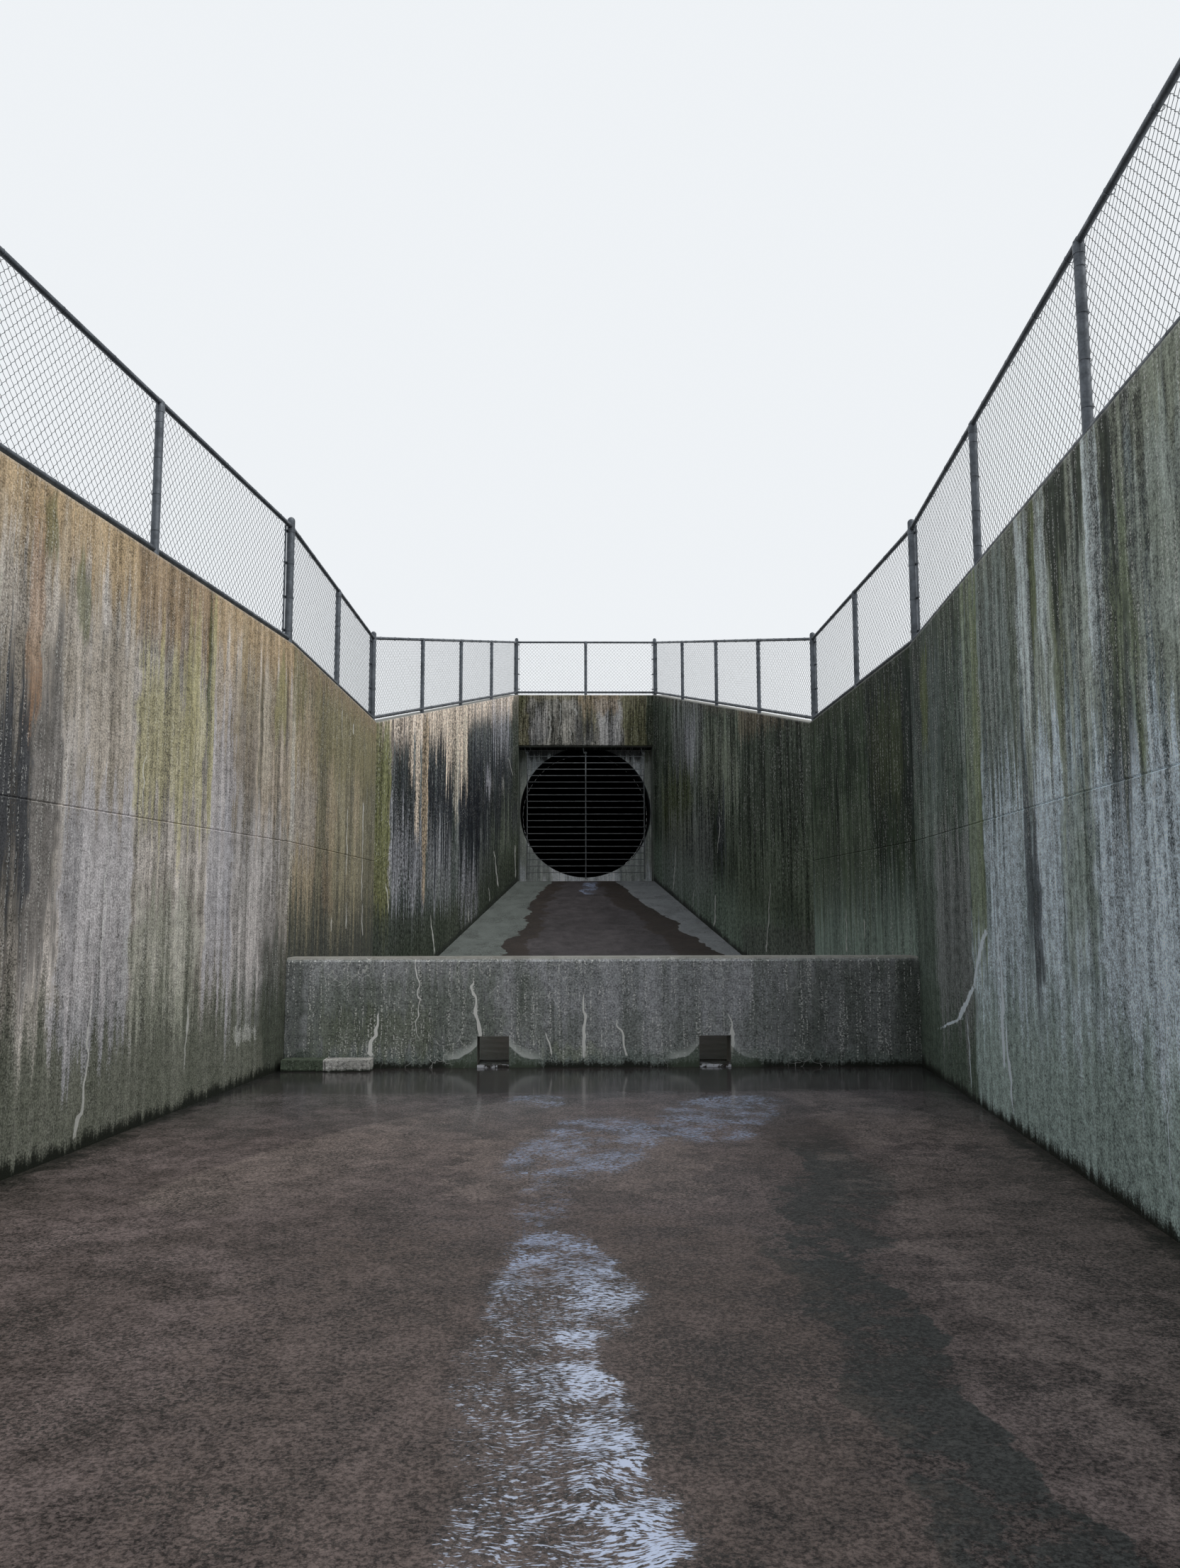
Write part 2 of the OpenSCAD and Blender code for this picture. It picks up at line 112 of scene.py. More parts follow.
def ramp(tree, value, low, high, start=0.0, end=1.0):
    """A smooth step: start below low, end above high."""
    node = add(tree, "ShaderNodeMapRange", {"interpolation_type": "SMOOTHSTEP"}, Value=value)
    for socket, number in zip(("From Min", "From Max", "To Min", "To Max"), (low, high, start, end)):
        feed(tree, node.inputs[socket], number)
    return node.outputs["Result"]


def mix(tree, share, a, b, mode="MIX"):
    """Goes from colour a to colour b as share goes from 0 to 1."""
    node = add(tree, "ShaderNodeMix", {"data_type": "RGBA", "blend_type": mode})
    for index, value in ((0, share), (6, a), (7, b)):
        feed(tree, node.inputs[index], value)
    return node.outputs[2]


def noise(tree, vector, scale, detail=3.0, rough=0.6):
    """Soft cloud noise, about 0.3 to 0.7."""
    node = add(tree, "ShaderNodeTexNoise", Vector=vector, Scale=scale, Detail=detail, Roughness=rough)
    return node.outputs[0]


def on_vectors(tree, operation, *values):
    """One sum on vectors."""
    node = add(tree, "ShaderNodeVectorMath", {"operation": operation})
    for socket, value in zip(node.inputs, values):
        feed(tree, socket, value)
    return node.outputs["Value" if operation == "DOT_PRODUCT" else "Vector"]


def times(tree, colour, amount):
    """A colour made lighter or darker."""
    node = add(tree, "ShaderNodeVectorMath", {"operation": "SCALE"}, Scale=amount)
    feed(tree, node.inputs[0], colour)
    return node.outputs[0]


def around_one(tree, start, *terms):
    """start plus the sum of each pattern's part above or below its middle, times its share."""
    total = calc(tree, "ADD", start, -0.5 * sum(share for pattern, share in terms))
    for pattern, share in terms:
        total = calc(tree, "MULTIPLY_ADD", pattern, share, total)
    return total


# %% [markdown]
# ## Groups and materials
# Effects that several finishes share are node groups with named sockets, made once. A group here puts out
# only masks, values and colours. The shader stays in the material, where its constants are set directly.
# Every pattern is measured on Object coordinates, in metres, so that it stays put from any side.

# %% Make a group, a material and its bump
SOCKETS = {float: "NodeSocketFloat", tuple: "NodeSocketVector"}


def make_group(name, inputs, outputs, body):
    """A node group. inputs is {name: start value}, and body returns {output name: socket}."""
    tree = bpy.data.node_groups.new(name, "ShaderNodeTree")
    for label, start in inputs.items():
        socket = tree.interface.new_socket(label, in_out="INPUT", socket_type=SOCKETS[type(start)])
        socket.default_value = start
    for label, kind in outputs.items():
        tree.interface.new_socket(label, in_out="OUTPUT", socket_type=SOCKETS[kind])
    entry, leave = tree.nodes.new("NodeGroupInput"), tree.nodes.new("NodeGroupOutput")
    for label, socket in body(tree, {s.name: s for s in entry.outputs if s.name}).items():
        tree.links.new(socket, leave.inputs[label])
    return tree


def use(tree, group, **inputs):
    """Places a node group and feeds it. Returns its outputs by name."""
    node = add(tree, "ShaderNodeGroup", {"node_tree": group}, **inputs)
    return {s.name: s for s in node.outputs}


def new_material(name, **constants):
    """A material with its shader's constant sockets set. Returns it, its tree, shader and point."""
    material = bpy.data.materials.new(name)
    material.use_nodes = True
    tree = material.node_tree
    shader = tree.nodes["Principled BSDF"]
    for key, value in constants.items():
        feed(tree, shader.inputs[key.replace("_", " ")], value)
    point = tree.nodes.new("ShaderNodeTexCoord").outputs["Object"]
    return material, tree, shader, point


def reopen(material):
    """A finished material's tree, shader, point and the colour that reaches its shader."""
    tree = material.node_tree
    shader = tree.nodes["Principled BSDF"]
    point = next(n for n in tree.nodes if n.type == "TEX_COORD").outputs["Object"]
    return tree, shader, point, shader.inputs["Base Color"].links[0].from_socket


def bump(tree, shader, height, depth, strength=1.0):
    """Raises the surface by depth metres where height is 1."""
    node = add(tree, "ShaderNodeBump", Height=height, Distance=depth, Strength=strength)
    tree.links.new(node.outputs[0], shader.inputs["Normal"])


# %% [markdown]
# ## Light and backdrop
# The channel is lit from above by an open sky, a little more from the right, so that the left bank is
# the bright one. A dim world gives the soft light, one wide sun gives the direction. Rays that come
# from the camera or off a glossy face see a paler sky, so the backdrop stays white and nothing clips.
# The barrel runs on into the dark bank: a black disc on the stage stands for the dark behind its end,
# and it shows from the front alone.

# %% Sky and sun
SKY_SEEN, SKY_LIGHT, SKY_DIM = (0.86, 0.89, 0.92), (0.94, 0.97, 1.0), 0.6
SUN_FROM = Vector((0.6, -0.3, 0.74))

world = bpy.data.worlds.new("sky")
bpy.context.scene.world = world
world.use_nodes = True
sky = world.node_tree
sky.nodes.clear()
rays = sky.nodes.new("ShaderNodeLightPath").outputs
direct = calc(sky, "MAXIMUM", rays["Is Camera Ray"], rays["Is Glossy Ray"])
direct = calc(sky, "MAXIMUM", direct, rays["Is Transmission Ray"])
seen = add(sky, "ShaderNodeBackground", Color=SKY_SEEN, Strength=1.0)
dim = add(sky, "ShaderNodeBackground", Color=SKY_LIGHT, Strength=SKY_DIM)
chosen = sky.nodes.new("ShaderNodeMixShader")
for socket, value in zip(chosen.inputs, (direct, dim.outputs[0], seen.outputs[0])):
    feed(sky, socket, value)
feed(sky, sky.nodes.new("ShaderNodeOutputWorld").inputs[0], chosen.outputs[0])

sun = bpy.data.lights.new("wide_sun", "SUN")
sun.energy, sun.angle, sun.color = 1.6, math.radians(60), (1.0, 0.97, 0.92)
sun_object = bpy.data.objects.new("wide_sun", sun)
bpy.context.scene.collection.objects.link(sun_object)
sun_object.rotation_mode = "QUATERNION"
sun_object.rotation_quaternion = SUN_FROM.to_track_quat("Z", "Y")
bpy.context.scene.view_settings.view_transform = "Standard"
print("sky", SKY_DIM, "sun", round(sun.energy, 2), "from", SUN_FROM[:])


# %% Stage floor
def flat_piece(name, outline):
    """One flat face through the outline's points, in order."""
    mesh = bpy.data.meshes.new(name)
    mesh.from_pydata([tuple(p) for p in outline], [], [list(range(len(outline)))])
    thing = bpy.data.objects.new(name, mesh)
    bpy.context.scene.collection.objects.link(thing)
    return thing


ground = flat_piece("stage_floor", [(-90, -90, 0), (90, -90, 0), (90, 90, 0), (-90, 90, 0)])
material, tree, shader, point = new_material("pale_floor", Roughness=0.9, Specular_IOR_Level=0.1)
clouds = noise(tree, point, 0.3)
feed(tree, shader.inputs["Base Color"], mix(tree, clouds, (0.74, 0.75, 0.76), (0.78, 0.79, 0.8)))
ground.data.materials.append(material)

# %% The dark behind the barrel
BARREL_END, BORE_Z, BORE_R = 15.05, 3.784, 1.405
DISC_SIDES = 64
angles = np.linspace(0, 2 * math.pi, DISC_SIDES, endpoint=False)
level_y = np.full(DISC_SIDES, BARREL_END - 0.01)
rim = [BORE_R * np.cos(angles), level_y, BORE_Z + BORE_R * np.sin(angles)]
dark = flat_piece("stage_dark", np.stack(rim, -1))
material, tree, shader, point = new_material("dark_behind", Base_Color=(0, 0, 0), Roughness=1.0,
                                             Specular_IOR_Level=0.0)
clear = tree.nodes.new("ShaderNodeBsdfTransparent")
choose = tree.nodes.new("ShaderNodeMixShader")
back = tree.nodes.new("ShaderNodeNewGeometry").outputs["Backfacing"]
for socket, value in zip(choose.inputs, (back, shader.outputs[0], clear.outputs[0])):
    feed(tree, socket, value)
feed(tree, tree.nodes["Material Output"].inputs["Surface"], choose.outputs[0])
dark.data.materials.append(material)
print("the disc faces", [round(v) for v in dark.data.polygons[0].normal])

# %% [markdown]
# ## What a stained wall is made of
# Water has run down these walls for decades. It leaves marks at every width, from damp bands to hair-fine
# runs, and close up each mark breaks into sandy mottling. So every pattern here is a noise of many octaves.
# One is squeezed across and stretched upwards, one is the same in all directions, and one is a comb, a
# noise of the distance along the wall alone, which pulls the ends of the stains down into drips. They are
# measured on the wall's own face: along it, up it and into it.

# %% Group: a place on a wall
ZERO = (0.0, 0.0, 0.0)


def wall_place_body(tree, given):
    """Along, up and into the wall: the point's offset from the corner, dotted with each direction."""
    offset = on_vectors(tree, "SUBTRACT", given["Point"], given["Corner"])
    run, depth = (on_vectors(tree, "DOT_PRODUCT", offset, given[way]) for way in ("Along", "Inward"))
    height = add(tree, "ShaderNodeSeparateXYZ", Vector=offset).outputs["Z"]
    face = add(tree, "ShaderNodeCombineXYZ", X=run, Y=depth, Z=height).outputs[0]
    return {"Face": face, "Run": run, "Depth": depth, "Height": height}


wall_place = make_group(
    "wall_place", {"Point": ZERO, "Corner": ZERO, "Along": (0.0, 1.0, 0.0), "Inward": (1.0, 0.0, 0.0)},
    {"Face": tuple, "Run": float, "Depth": float, "Height": float}, wall_place_body)


# %% Group: streaks
def streaks_body(tree, given):
    """Cloud noise of the face's coordinates, divided by a width across and by a length upwards."""
    across = calc(tree, "DIVIDE", 1.0, given["Width"])
    upwards = calc(tree, "DIVIDE", 1.0, given["Length"])
    squeeze = add(tree, "ShaderNodeCombineXYZ", X=across, Y=across, Z=upwards).outputs[0]
    moved = on_vectors(tree, "MULTIPLY_ADD", given["Face"], squeeze, given["Seed"])
    low, high = (calc(tree, way, 0.5, given["Soft"]) for way in ("SUBTRACT", "ADD"))
    return {"Value": ramp(tree, noise(tree, moved, 1.0, given["Detail"]), low, high)}


streaks = make_group(
    "streaks", {"Face": ZERO, "Width": 0.1, "Length": 1.0, "Seed": 0.0, "Detail": 3.0, "Soft": 0.15},
    {"Value": float}, streaks_body)


# %% Group: weather
def weather_body(tree, given):
    """The wall's patterns on a face bent a little by noise. Band, Streak and Hair are streaks of three
    widths, Mottle is the same in all directions, Comb depends on the distance along alone, Wander is the
    slow noise that bends the face, and Ragged is a sum."""
    face, seed = given["Face"], given["Seed"]
    nudge = add(tree, "ShaderNodeTexNoise", Vector=face, Scale=3.0, Detail=2.0, Roughness=0.6)
    bent = on_vectors(tree, "MULTIPLY_ADD", nudge.outputs[0], (0.05, 0.05, 0.0), face)
    sizes = ((0.3, 5.0, 2.0, 0.15), (0.07, 2.2, 2.0, 0.1), (0.02, 0.8, 1.0, 0.12))
    band, streak, hair = (
        use(tree, streaks, Face=bent, Width=wide, Length=long, Seed=seed, Detail=detail, Soft=soft)["Value"]
        for wide, long, detail, soft in sizes)
    mottle = ramp(tree, noise(tree, face, 16.0, 4.0, 0.7), 0.36, 0.64)
    run = calc(tree, "ADD", add(tree, "ShaderNodeSeparateXYZ", Vector=bent).outputs["X"], seed)
    comb = add(tree, "ShaderNodeTexNoise", {"noise_dimensions": "1D"}, W=run, Scale=8.0, Detail=5.0,
               Roughness=0.7)
    fine = calc(tree, "MULTIPLY_ADD", streak, 0.4, calc(tree, "MULTIPLY", hair, 0.2))
    ragged = calc(tree, "MULTIPLY_ADD", mottle, 0.1, calc(tree, "MULTIPLY_ADD", band, 0.3, fine))
    comb = ramp(tree, comb.outputs[0], 0.34, 0.66)
    wander = ramp(tree, nudge.outputs[0], 0.35, 0.65)
    return {"Band": band, "Streak": streak, "Hair": hair, "Mottle": mottle, "Ragged": ragged, "Comb": comb,
            "Wander": wander}


PATTERNS = ("Band", "Streak", "Hair", "Mottle", "Ragged", "Comb", "Wander")
weather = make_group("weather", {"Face": ZERO, "Seed": 0.0}, dict.fromkeys(PATTERNS, float), weather_body)
print("patterns of the weather:", *PATTERNS)


# %% Group: a stain
def stain_body(tree, given):
    """A soft box on the face: the smooth step of half its size less the distance from its middle, across
    times upwards. The comb lowers it by up to Fall, Wander moves it by up to Stray, its lower end leans by
    Lean and widens by Spread for each metre down, and Noise frays its edge. Noise, Comb and Wander are
    centred on zero."""
    height = calc(tree, "MULTIPLY_ADD", given["Comb"], given["Fall"], given["Height"])
    run = calc(tree, "MULTIPLY_ADD", given["Wander"], given["Stray"], given["Run"])
    below = calc(tree, "SUBTRACT", given["High"], height)
    run = calc(tree, "ADD", run, calc(tree, "MULTIPLY", below, given["Lean"]))
    wider = calc(tree, "MULTIPLY", below, given["Spread"])
    box = 1.0
    for place, start, stop, soft, more in (
            (run, "Left", "Right", "Side", wider), (height, "Low", "High", "End", 0.0)):
        middle = calc(tree, "MULTIPLY", calc(tree, "ADD", given[start], given[stop]), 0.5)
        half = calc(tree, "MULTIPLY", calc(tree, "SUBTRACT", given[stop], given[start]), 0.5)
        away = calc(tree, "ABSOLUTE", calc(tree, "SUBTRACT", place, middle))
        gap = calc(tree, "SUBTRACT", calc(tree, "ADD", half, more), away)
        inside = ramp(tree, gap, calc(tree, "MULTIPLY", given[soft], -1.0), given[soft])
        box = calc(tree, "MULTIPLY", inside, box)
    frayed = calc(tree, "MULTIPLY_ADD", given["Noise"], given["Fray"], box)
    shape = ramp(tree, frayed, 0.25, 0.75, 0.0, given["Strength"])
    return {"Mask": calc(tree, "MULTIPLY", shape, ramp(tree, box, 0.0, 0.2))}


stain = make_group(
    "stain",
    {"Run": 0.0, "Height": 0.0, "Noise": 0.0, "Comb": 0.0, "Wander": 0.0, "Left": 0.0, "Right": 1.0,
     "Low": 0.0, "High": 1.0, "Side": 0.1, "End": 0.2, "Fray": 0.8, "Fall": 0.0, "Stray": 0.0, "Lean": 0.0,
     "Spread": 0.0, "Strength": 0.5},
    {"Mask": float}, stain_body)


# %% Groups: sand with air pits, and the marks of form panels
def grain_body(tree, given):
    """Sandy speckle, and round air pits: cells of a point pattern, some of them with a small hollow."""
    tone = noise(tree, given["Point"], given["Scale"], 3.0, 0.75)
    density = calc(tree, "DIVIDE", 1.0, given["Spacing"])
    cells = add(tree, "ShaderNodeTexVoronoi", Vector=given["Point"], Scale=density)
    chance = add(tree, "ShaderNodeSeparateColor", Color=cells.outputs["Color"]).outputs[0]
    radius = calc(tree, "MULTIPLY", calc(tree, "SUBTRACT", chance, 0.45, clamp=True), given["Size"])
    pit = ramp(tree, calc(tree, "SUBTRACT", radius, cells.outputs["Distance"]), 0.0, 0.02)
    return {"Tone": ramp(tree, tone, 0.36, 0.64), "Pits": pit, "Height": tone}


grain = make_group("grain", {"Point": ZERO, "Scale": 55.0, "Spacing": 0.07, "Size": 0.22},
                   {"Tone": float, "Pits": float, "Height": float}, grain_body)


def panels_body(tree, given):
    """Marks of the form panels: a thin line at each whole panel width, and a shade for each panel."""
    count = calc(tree, "DIVIDE", calc(tree, "ADD", given["Run"], given["Phase"]), given["Width"])
    part = calc(tree, "FRACT", count)
    edge = calc(tree, "MINIMUM", part, calc(tree, "SUBTRACT", 1.0, part))
    line = ramp(tree, calc(tree, "MULTIPLY", edge, given["Width"]), 0.001, 0.006, 1.0, 0.0)
    shade = add(tree, "ShaderNodeTexWhiteNoise", {"noise_dimensions": "1D"}, W=calc(tree, "FLOOR", count))
    return {"Line": line, "Shade": shade.outputs["Value"]}


panels = make_group("panels", {"Run": 0.0, "Width": 1.22, "Phase": 0.0}, {"Line": float, "Shade": float},
                    panels_body)
print("groups:", [g.name for g in bpy.data.node_groups])

# %% [markdown]
# ## The colours of the stains
# Concrete here is a warm grey that has weathered in two ways: tan and olive on the sunny bank, green
# black and blue grey on the shaded one. White runs are lime that the water has washed out of cracks.

# %% Tints
TINTS = {
    "tan": (0.47, 0.375, 0.27), "cream": (0.52, 0.475, 0.4), "brown": (0.27, 0.2, 0.14),
    "olive": (0.215, 0.195, 0.105), "yellow": (0.33, 0.305, 0.16), "moss": (0.1, 0.12, 0.045),
    "sage": (0.27, 0.3, 0.235), "soot": (0.04, 0.046, 0.056), "coal": (0.105, 0.103, 0.1),
    "shade": (0.048, 0.06, 0.045), "haze": (0.39, 0.395, 0.45), "lime": (0.85, 0.86, 0.84),
    "rust": (0.33, 0.19, 0.1), "grey": (0.24, 0.255, 0.26), "green": (0.12, 0.15, 0.108),
    "lichen": (0.43, 0.4, 0.225), "mist": (0.6, 0.7, 0.78), "clay": (0.32, 0.28, 0.225),
    "chalk": (0.8, 0.9, 0.98), "black": (0.011, 0.014, 0.021), "blush": (0.7, 0.6, 0.5),
    "fern": (0.17, 0.21, 0.12), "bottle": (0.07, 0.096, 0.064), "drab": (0.14, 0.132, 0.08),
}
PIT_DARK, WET_DARK = (0.028, 0.03, 0.028), (0.02, 0.023, 0.018)
print(len(TINTS), "tints")


# %% [markdown]
# ## One recipe for every wall
# A wall is painted in the order in which it aged: concrete with a band at its top and one at its foot, the
# stains, the streaks and sand that lighten and darken it, the white drips, the wet foot, and last the open
# joint and the pits. Its outer faces and its top saw no stream, so they stay plain.

# %% Measure a wall
def measure_wall(tree, point, corner, along, inward, rises, levels, seed, phase, sand):
    """The places and patterns that the recipe needs, by name. foot and joint are the heights above the
    foot and above the joint, and top is how far a point is below the top. fray, fall, stray and fine are
    patterns centred on zero."""
    at = use(tree, wall_place, Point=point, Corner=corner, Along=along, Inward=inward)
    foot, joint, above_top = (
        calc(tree, "SUBTRACT", at["Height"], calc(tree, "MULTIPLY_ADD", at["Run"], rise, level))
        for rise, level in zip(rises, levels))
    old = use(tree, weather, Face=at["Face"], Seed=seed)
    speck = use(tree, grain, Point=at["Face"], Scale=sand)
    form = use(tree, panels, Run=at["Run"], Phase=phase)
    ragged = around_one(tree, old["Ragged"], (speck["Tone"], 0.35))
    patterns = (ragged, old["Comb"], old["Wander"], old["Mottle"])
    fray, fall, stray, fine = (calc(tree, "SUBTRACT", pattern, 0.5) for pattern in patterns)
    return SimpleNamespace(
        face=at["Face"], run=at["Run"], depth=at["Depth"], height=at["Height"],
        foot=foot, joint=joint, top=calc(tree, "MULTIPLY", above_top, -1.0),
        band=old["Band"], streak=old["Streak"], hair=old["Hair"], mottle=old["Mottle"],
        comb=old["Comb"], wander=old["Wander"], ragged=ragged,
        fray=fray, fall=fall, stray=stray, fine=fine,
        sand=speck["Tone"], pits=speck["Pits"], relief=speck["Height"],
        seam=form["Line"], panel=form["Shade"])


# %% Plain concrete, and concrete with bands
def bare_concrete(tree, wall):
    """The outer faces and tops: plain cast concrete under a slow cloud, with faint streaks, a shade for
    each form panel, and earth on its foot that the comb pulls up in tongues."""
    cloud = ramp(tree, noise(tree, wall.face, 0.7, 2.0, 0.5), 0.3, 0.7)
    colour = mix(tree, cloud, (0.285, 0.285, 0.262), (0.35, 0.352, 0.332))
    soil = around_one(tree, wall.height, (wall.comb, 0.7), (wall.mottle, 0.3))
    colour = mix(tree, ramp(tree, soil, -0.3, 1.1, 0.55, 0.0), colour, (0.17, 0.15, 0.115))
    light = around_one(tree, 1.0, (wall.sand, 0.14), (wall.streak, 0.1), (wall.band, 0.14),
                       (wall.mottle, 0.1), (wall.panel, 0.07))
    return times(tree, colour, light)


def banded_concrete(tree, wall, body, crown, base):
    """The stained face's ground: a blend of two colours, and over it a band of crown at the top, which the
    comb pulls down in drips, and a band of base at the foot."""
    blend = around_one(tree, 0.5, (wall.band, 0.6), (wall.wander, 0.5), (wall.streak, 0.3))
    colour = mix(tree, ramp(tree, blend, 0.05, 0.95), *body)
    for edge, (tint, size), drip in ((wall.top, crown, 0.9), (wall.foot, base, 0.3)):
        depth = around_one(tree, edge, (wall.comb, size * drip), (wall.ragged, size * 0.4))
        colour = mix(tree, ramp(tree, depth, size * 0.6, size * 1.3, 0.9, 0.0), colour, tint)
    return colour


# %% Stains and drips
def paint_stains(tree, wall, colour, marks):
    """Lays each stain of a wall over the colour."""
    for tint, left, far, low, high, side, end, fray, strength, fall in marks:
        mask = use(tree, stain, Run=wall.run, Height=wall.height, Noise=wall.fray, Comb=wall.fall,
                   Wander=wall.stray, Left=left, Right=far, Low=low, High=high, Side=side, End=end,
                   Fray=fray, Fall=fall, Stray=min(0.1, side + 0.01), Strength=strength)["Mask"]
        colour = mix(tree, mask, colour, TINTS[tint])
    return colour


def paint_drips(tree, wall, colour, runs, tint, strength):
    """Lays each drip over the colour: a narrow stain that leans from its upper end to its lower one."""
    for start, high, stop, low, width, spread in runs:
        lean = (stop - start) / (low - high)
        mask = use(tree, stain, Run=wall.run, Height=wall.height, Noise=wall.fine, Wander=wall.stray,
                   Left=start - width / 2, Right=start + width / 2, Low=low, High=high, Side=width * 0.3,
                   End=0.08, Fray=0.5, Stray=0.06, Lean=lean, Spread=spread, Strength=strength)["Mask"]
        colour = mix(tree, mask, colour, tint)
    return colour


# %% Streaks and sand
def streak_and_sand(tree, wall, colour, look, calm, lime):
    """Lightens and darkens the colour by the wall's patterns, with damp below the joint and a lit lip on
    it, then adds flecks of lime on the finest streaks, and a pale line along the top edge, which is worn
    and carries a painted highlight."""
    bands, streak, hairs, mottling, sand = look
    below = ramp(tree, wall.joint, -0.005, 0.01, 1.0, 0.0)
    below = calc(tree, "MULTIPLY", ramp(tree, wall.joint, -0.5, -0.01), below)
    damp = calc(tree, "MULTIPLY", below, ramp(tree, wall.ragged, 0.5, 0.8, 0.0, 0.2))
    light = around_one(tree, 0.0, (wall.band, bands), (wall.streak, streak), (wall.hair, hairs))
    light = calc(tree, "MULTIPLY", light, ramp(tree, wall.foot, calm * 0.2, calm, 0.35, 1.0))
    light = calc(tree, "SUBTRACT", light, damp)
    light = around_one(tree, light, (wall.mottle, mottling), (wall.sand, sand))
    light = around_one(tree, calc(tree, "ADD", light, 1.0), (wall.panel, 0.08))
    lip = ramp(tree, calc(tree, "ABSOLUTE", wall.joint), 0.003, 0.009, 0.45, 0.0)
    colour = times(tree, colour, calc(tree, "MAXIMUM", calc(tree, "ADD", light, lip), 0.15))

    fleck = calc(tree, "MULTIPLY", ramp(tree, wall.hair, 0.9, 1.0), ramp(tree, wall.sand, 0.55, 0.9))
    fleck = calc(tree, "MULTIPLY", fleck, ramp(tree, wall.foot, calm * 0.4, calm, 0.2, 1.0))
    colour = mix(tree, calc(tree, "MULTIPLY", fleck, lime * 0.8), colour, TINTS["lime"])
    # The pale line along the top edge: wear, and a painted highlight on the arris.
    return mix(tree, ramp(tree, wall.top, 0.004, 0.022, 0.18, 0.0), colour, TINTS["lime"])


# %% Where the face is open, and where it ends
def open_spots(tree, wall):
    """Air pits, the broken line of the joint, and the faint seams between form panels."""
    broken = ramp(tree, wall.mottle, 0.2, 0.6, 0.0, 0.5)
    line = ramp(tree, calc(tree, "ABSOLUTE", wall.joint), 0.001, 0.004, 1.0, 0.0)
    line = calc(tree, "MULTIPLY", line, broken)
    spots = calc(tree, "MAXIMUM", calc(tree, "MULTIPLY", wall.pits, 0.75), line)
    return calc(tree, "MAXIMUM", spots, calc(tree, "MULTIPLY", wall.seam, 0.25))


def off_the_face(tree, wall, skin, span):
    """One where a point isn't on the stained face: skin metres in or out, or beyond the ends of span."""
    away = ramp(tree, calc(tree, "ABSOLUTE", wall.depth), skin, skin + 0.018)
    if span:
        middle, half = (span[0] + span[1]) / 2, (span[1] - span[0]) / 2
        aside = calc(tree, "ABSOLUTE", calc(tree, "SUBTRACT", wall.run, middle))
        away = calc(tree, "MAXIMUM", away, ramp(tree, aside, half, half + 0.01))
    return away


# %% Stained wall
def stained_wall(name, corner, along, inward, rises, body, crown, base, marks=(), runs=(), seed=0.0,
                 phase=0.0, levels=(0.0, 2.05, 3.9), look=(0.3, 0.35, 0.2, 0.3, 0.4), sand=55.0, calm=1.2,
                 tide=0.12, lime=0.65, white="lime", skin=0.012, span=None):
    """A wall finish, on a face given by its corner and its directions along and inward.
    levels: the heights of its foot, joint and top, which gain rises for each metre along.
    body: the two colours of the concrete between the bands.
    crown, base: a colour and the depth of the band that it fills, at the top and at the foot.
    marks: stains, as (tint, left, right, low, high, side, end, fray, strength, fall) in metres.
    runs: drips of the white tint, as (along, high, along, low, width, spread), lime strong.
    look: how much the bands, streaks, hairs, mottling and sand lighten and darken the wall.
    sand: how fine the grain is. seed and phase: where the patterns and the form panels begin.
    calm: the height below which the streaks fade. tide: how far the wet foot reaches up.
    skin, span: the stained face ends skin metres in, and at the two ends of span where one is given."""
    material, tree, shader, point = new_material(name, Specular_IOR_Level=0.12)
    wall = measure_wall(tree, point, corner, along, inward, rises, levels, seed, phase, sand)
    colour = banded_concrete(tree, wall, body, crown, base)
    colour = paint_stains(tree, wall, colour, marks)
    colour = streak_and_sand(tree, wall, colour, look, calm, lime)
    colour = paint_drips(tree, wall, colour, runs, TINTS[white], lime)
    wet = ramp(tree, around_one(tree, wall.foot, (wall.ragged, tide)), tide * 0.3, tide * 1.2, 1.0, 0.0)
    colour = mix(tree, wet, colour, WET_DARK)
    colour = mix(tree, off_the_face(tree, wall, skin, span), colour, bare_concrete(tree, wall))
    feed(tree, shader.inputs["Base Color"], mix(tree, open_spots(tree, wall), colour, PIT_DARK))
    dull = ramp(tree, wall.sand, 0.2, 0.9, 0.72, 0.92)
    feed(tree, shader.inputs["Roughness"], calc(tree, "SUBTRACT", dull, calc(tree, "MULTIPLY", wet, 0.4)))
    bump(tree, shader, wall.relief, 0.0025, 0.8)
    print(f"{name}: {len(marks)} stains, {len(runs)} drips")
    return material


def dress(material, *names):
    """Gives CAD nodes a material of this lesson."""
    for name in names:
        nodes[name].data.materials.clear()
        nodes[name].data.materials.append(material)


# %% [markdown]
# ## Six walls, six finishes
# The stains of each wall were put where the photograph shows them. Along is counted from the weir on the
# channel and basin walls, and from the bend on the wing walls; up is counted from the channel floor.
# Each stain is one row: its tint, where it lies, how soft its sides and ends are, and how strong it is.

# %% Wall directions
HALF_W, FLOOR_Z, KINK_Y, CORNER_Y, HEAD_Y = 2.9, 0.3, -0.15, 4.35, 13.05
PORTAL_HALF, TURN = 1.42, math.radians(6)
WING_IN, WING_ON = HALF_W - PORTAL_HALF, HEAD_Y - CORNER_Y
WING_RUN = math.hypot(WING_IN, WING_ON)
down = (-math.sin(TURN), -math.cos(TURN), 0.0)
wing = (WING_IN / WING_RUN, WING_ON / WING_RUN, 0.0)
FOOT_CLIMB, TOP_CLIMB = 1.98 / WING_RUN, 2.02 / WING_RUN
LEVEL, RISING = (0.0, 0.0, 0.0), (FOOT_CLIMB, FOOT_CLIMB, TOP_CLIMB)
print("a wing wall is", round(WING_RUN, 2), "m long and its foot climbs", round(FOOT_CLIMB, 3), "per metre")

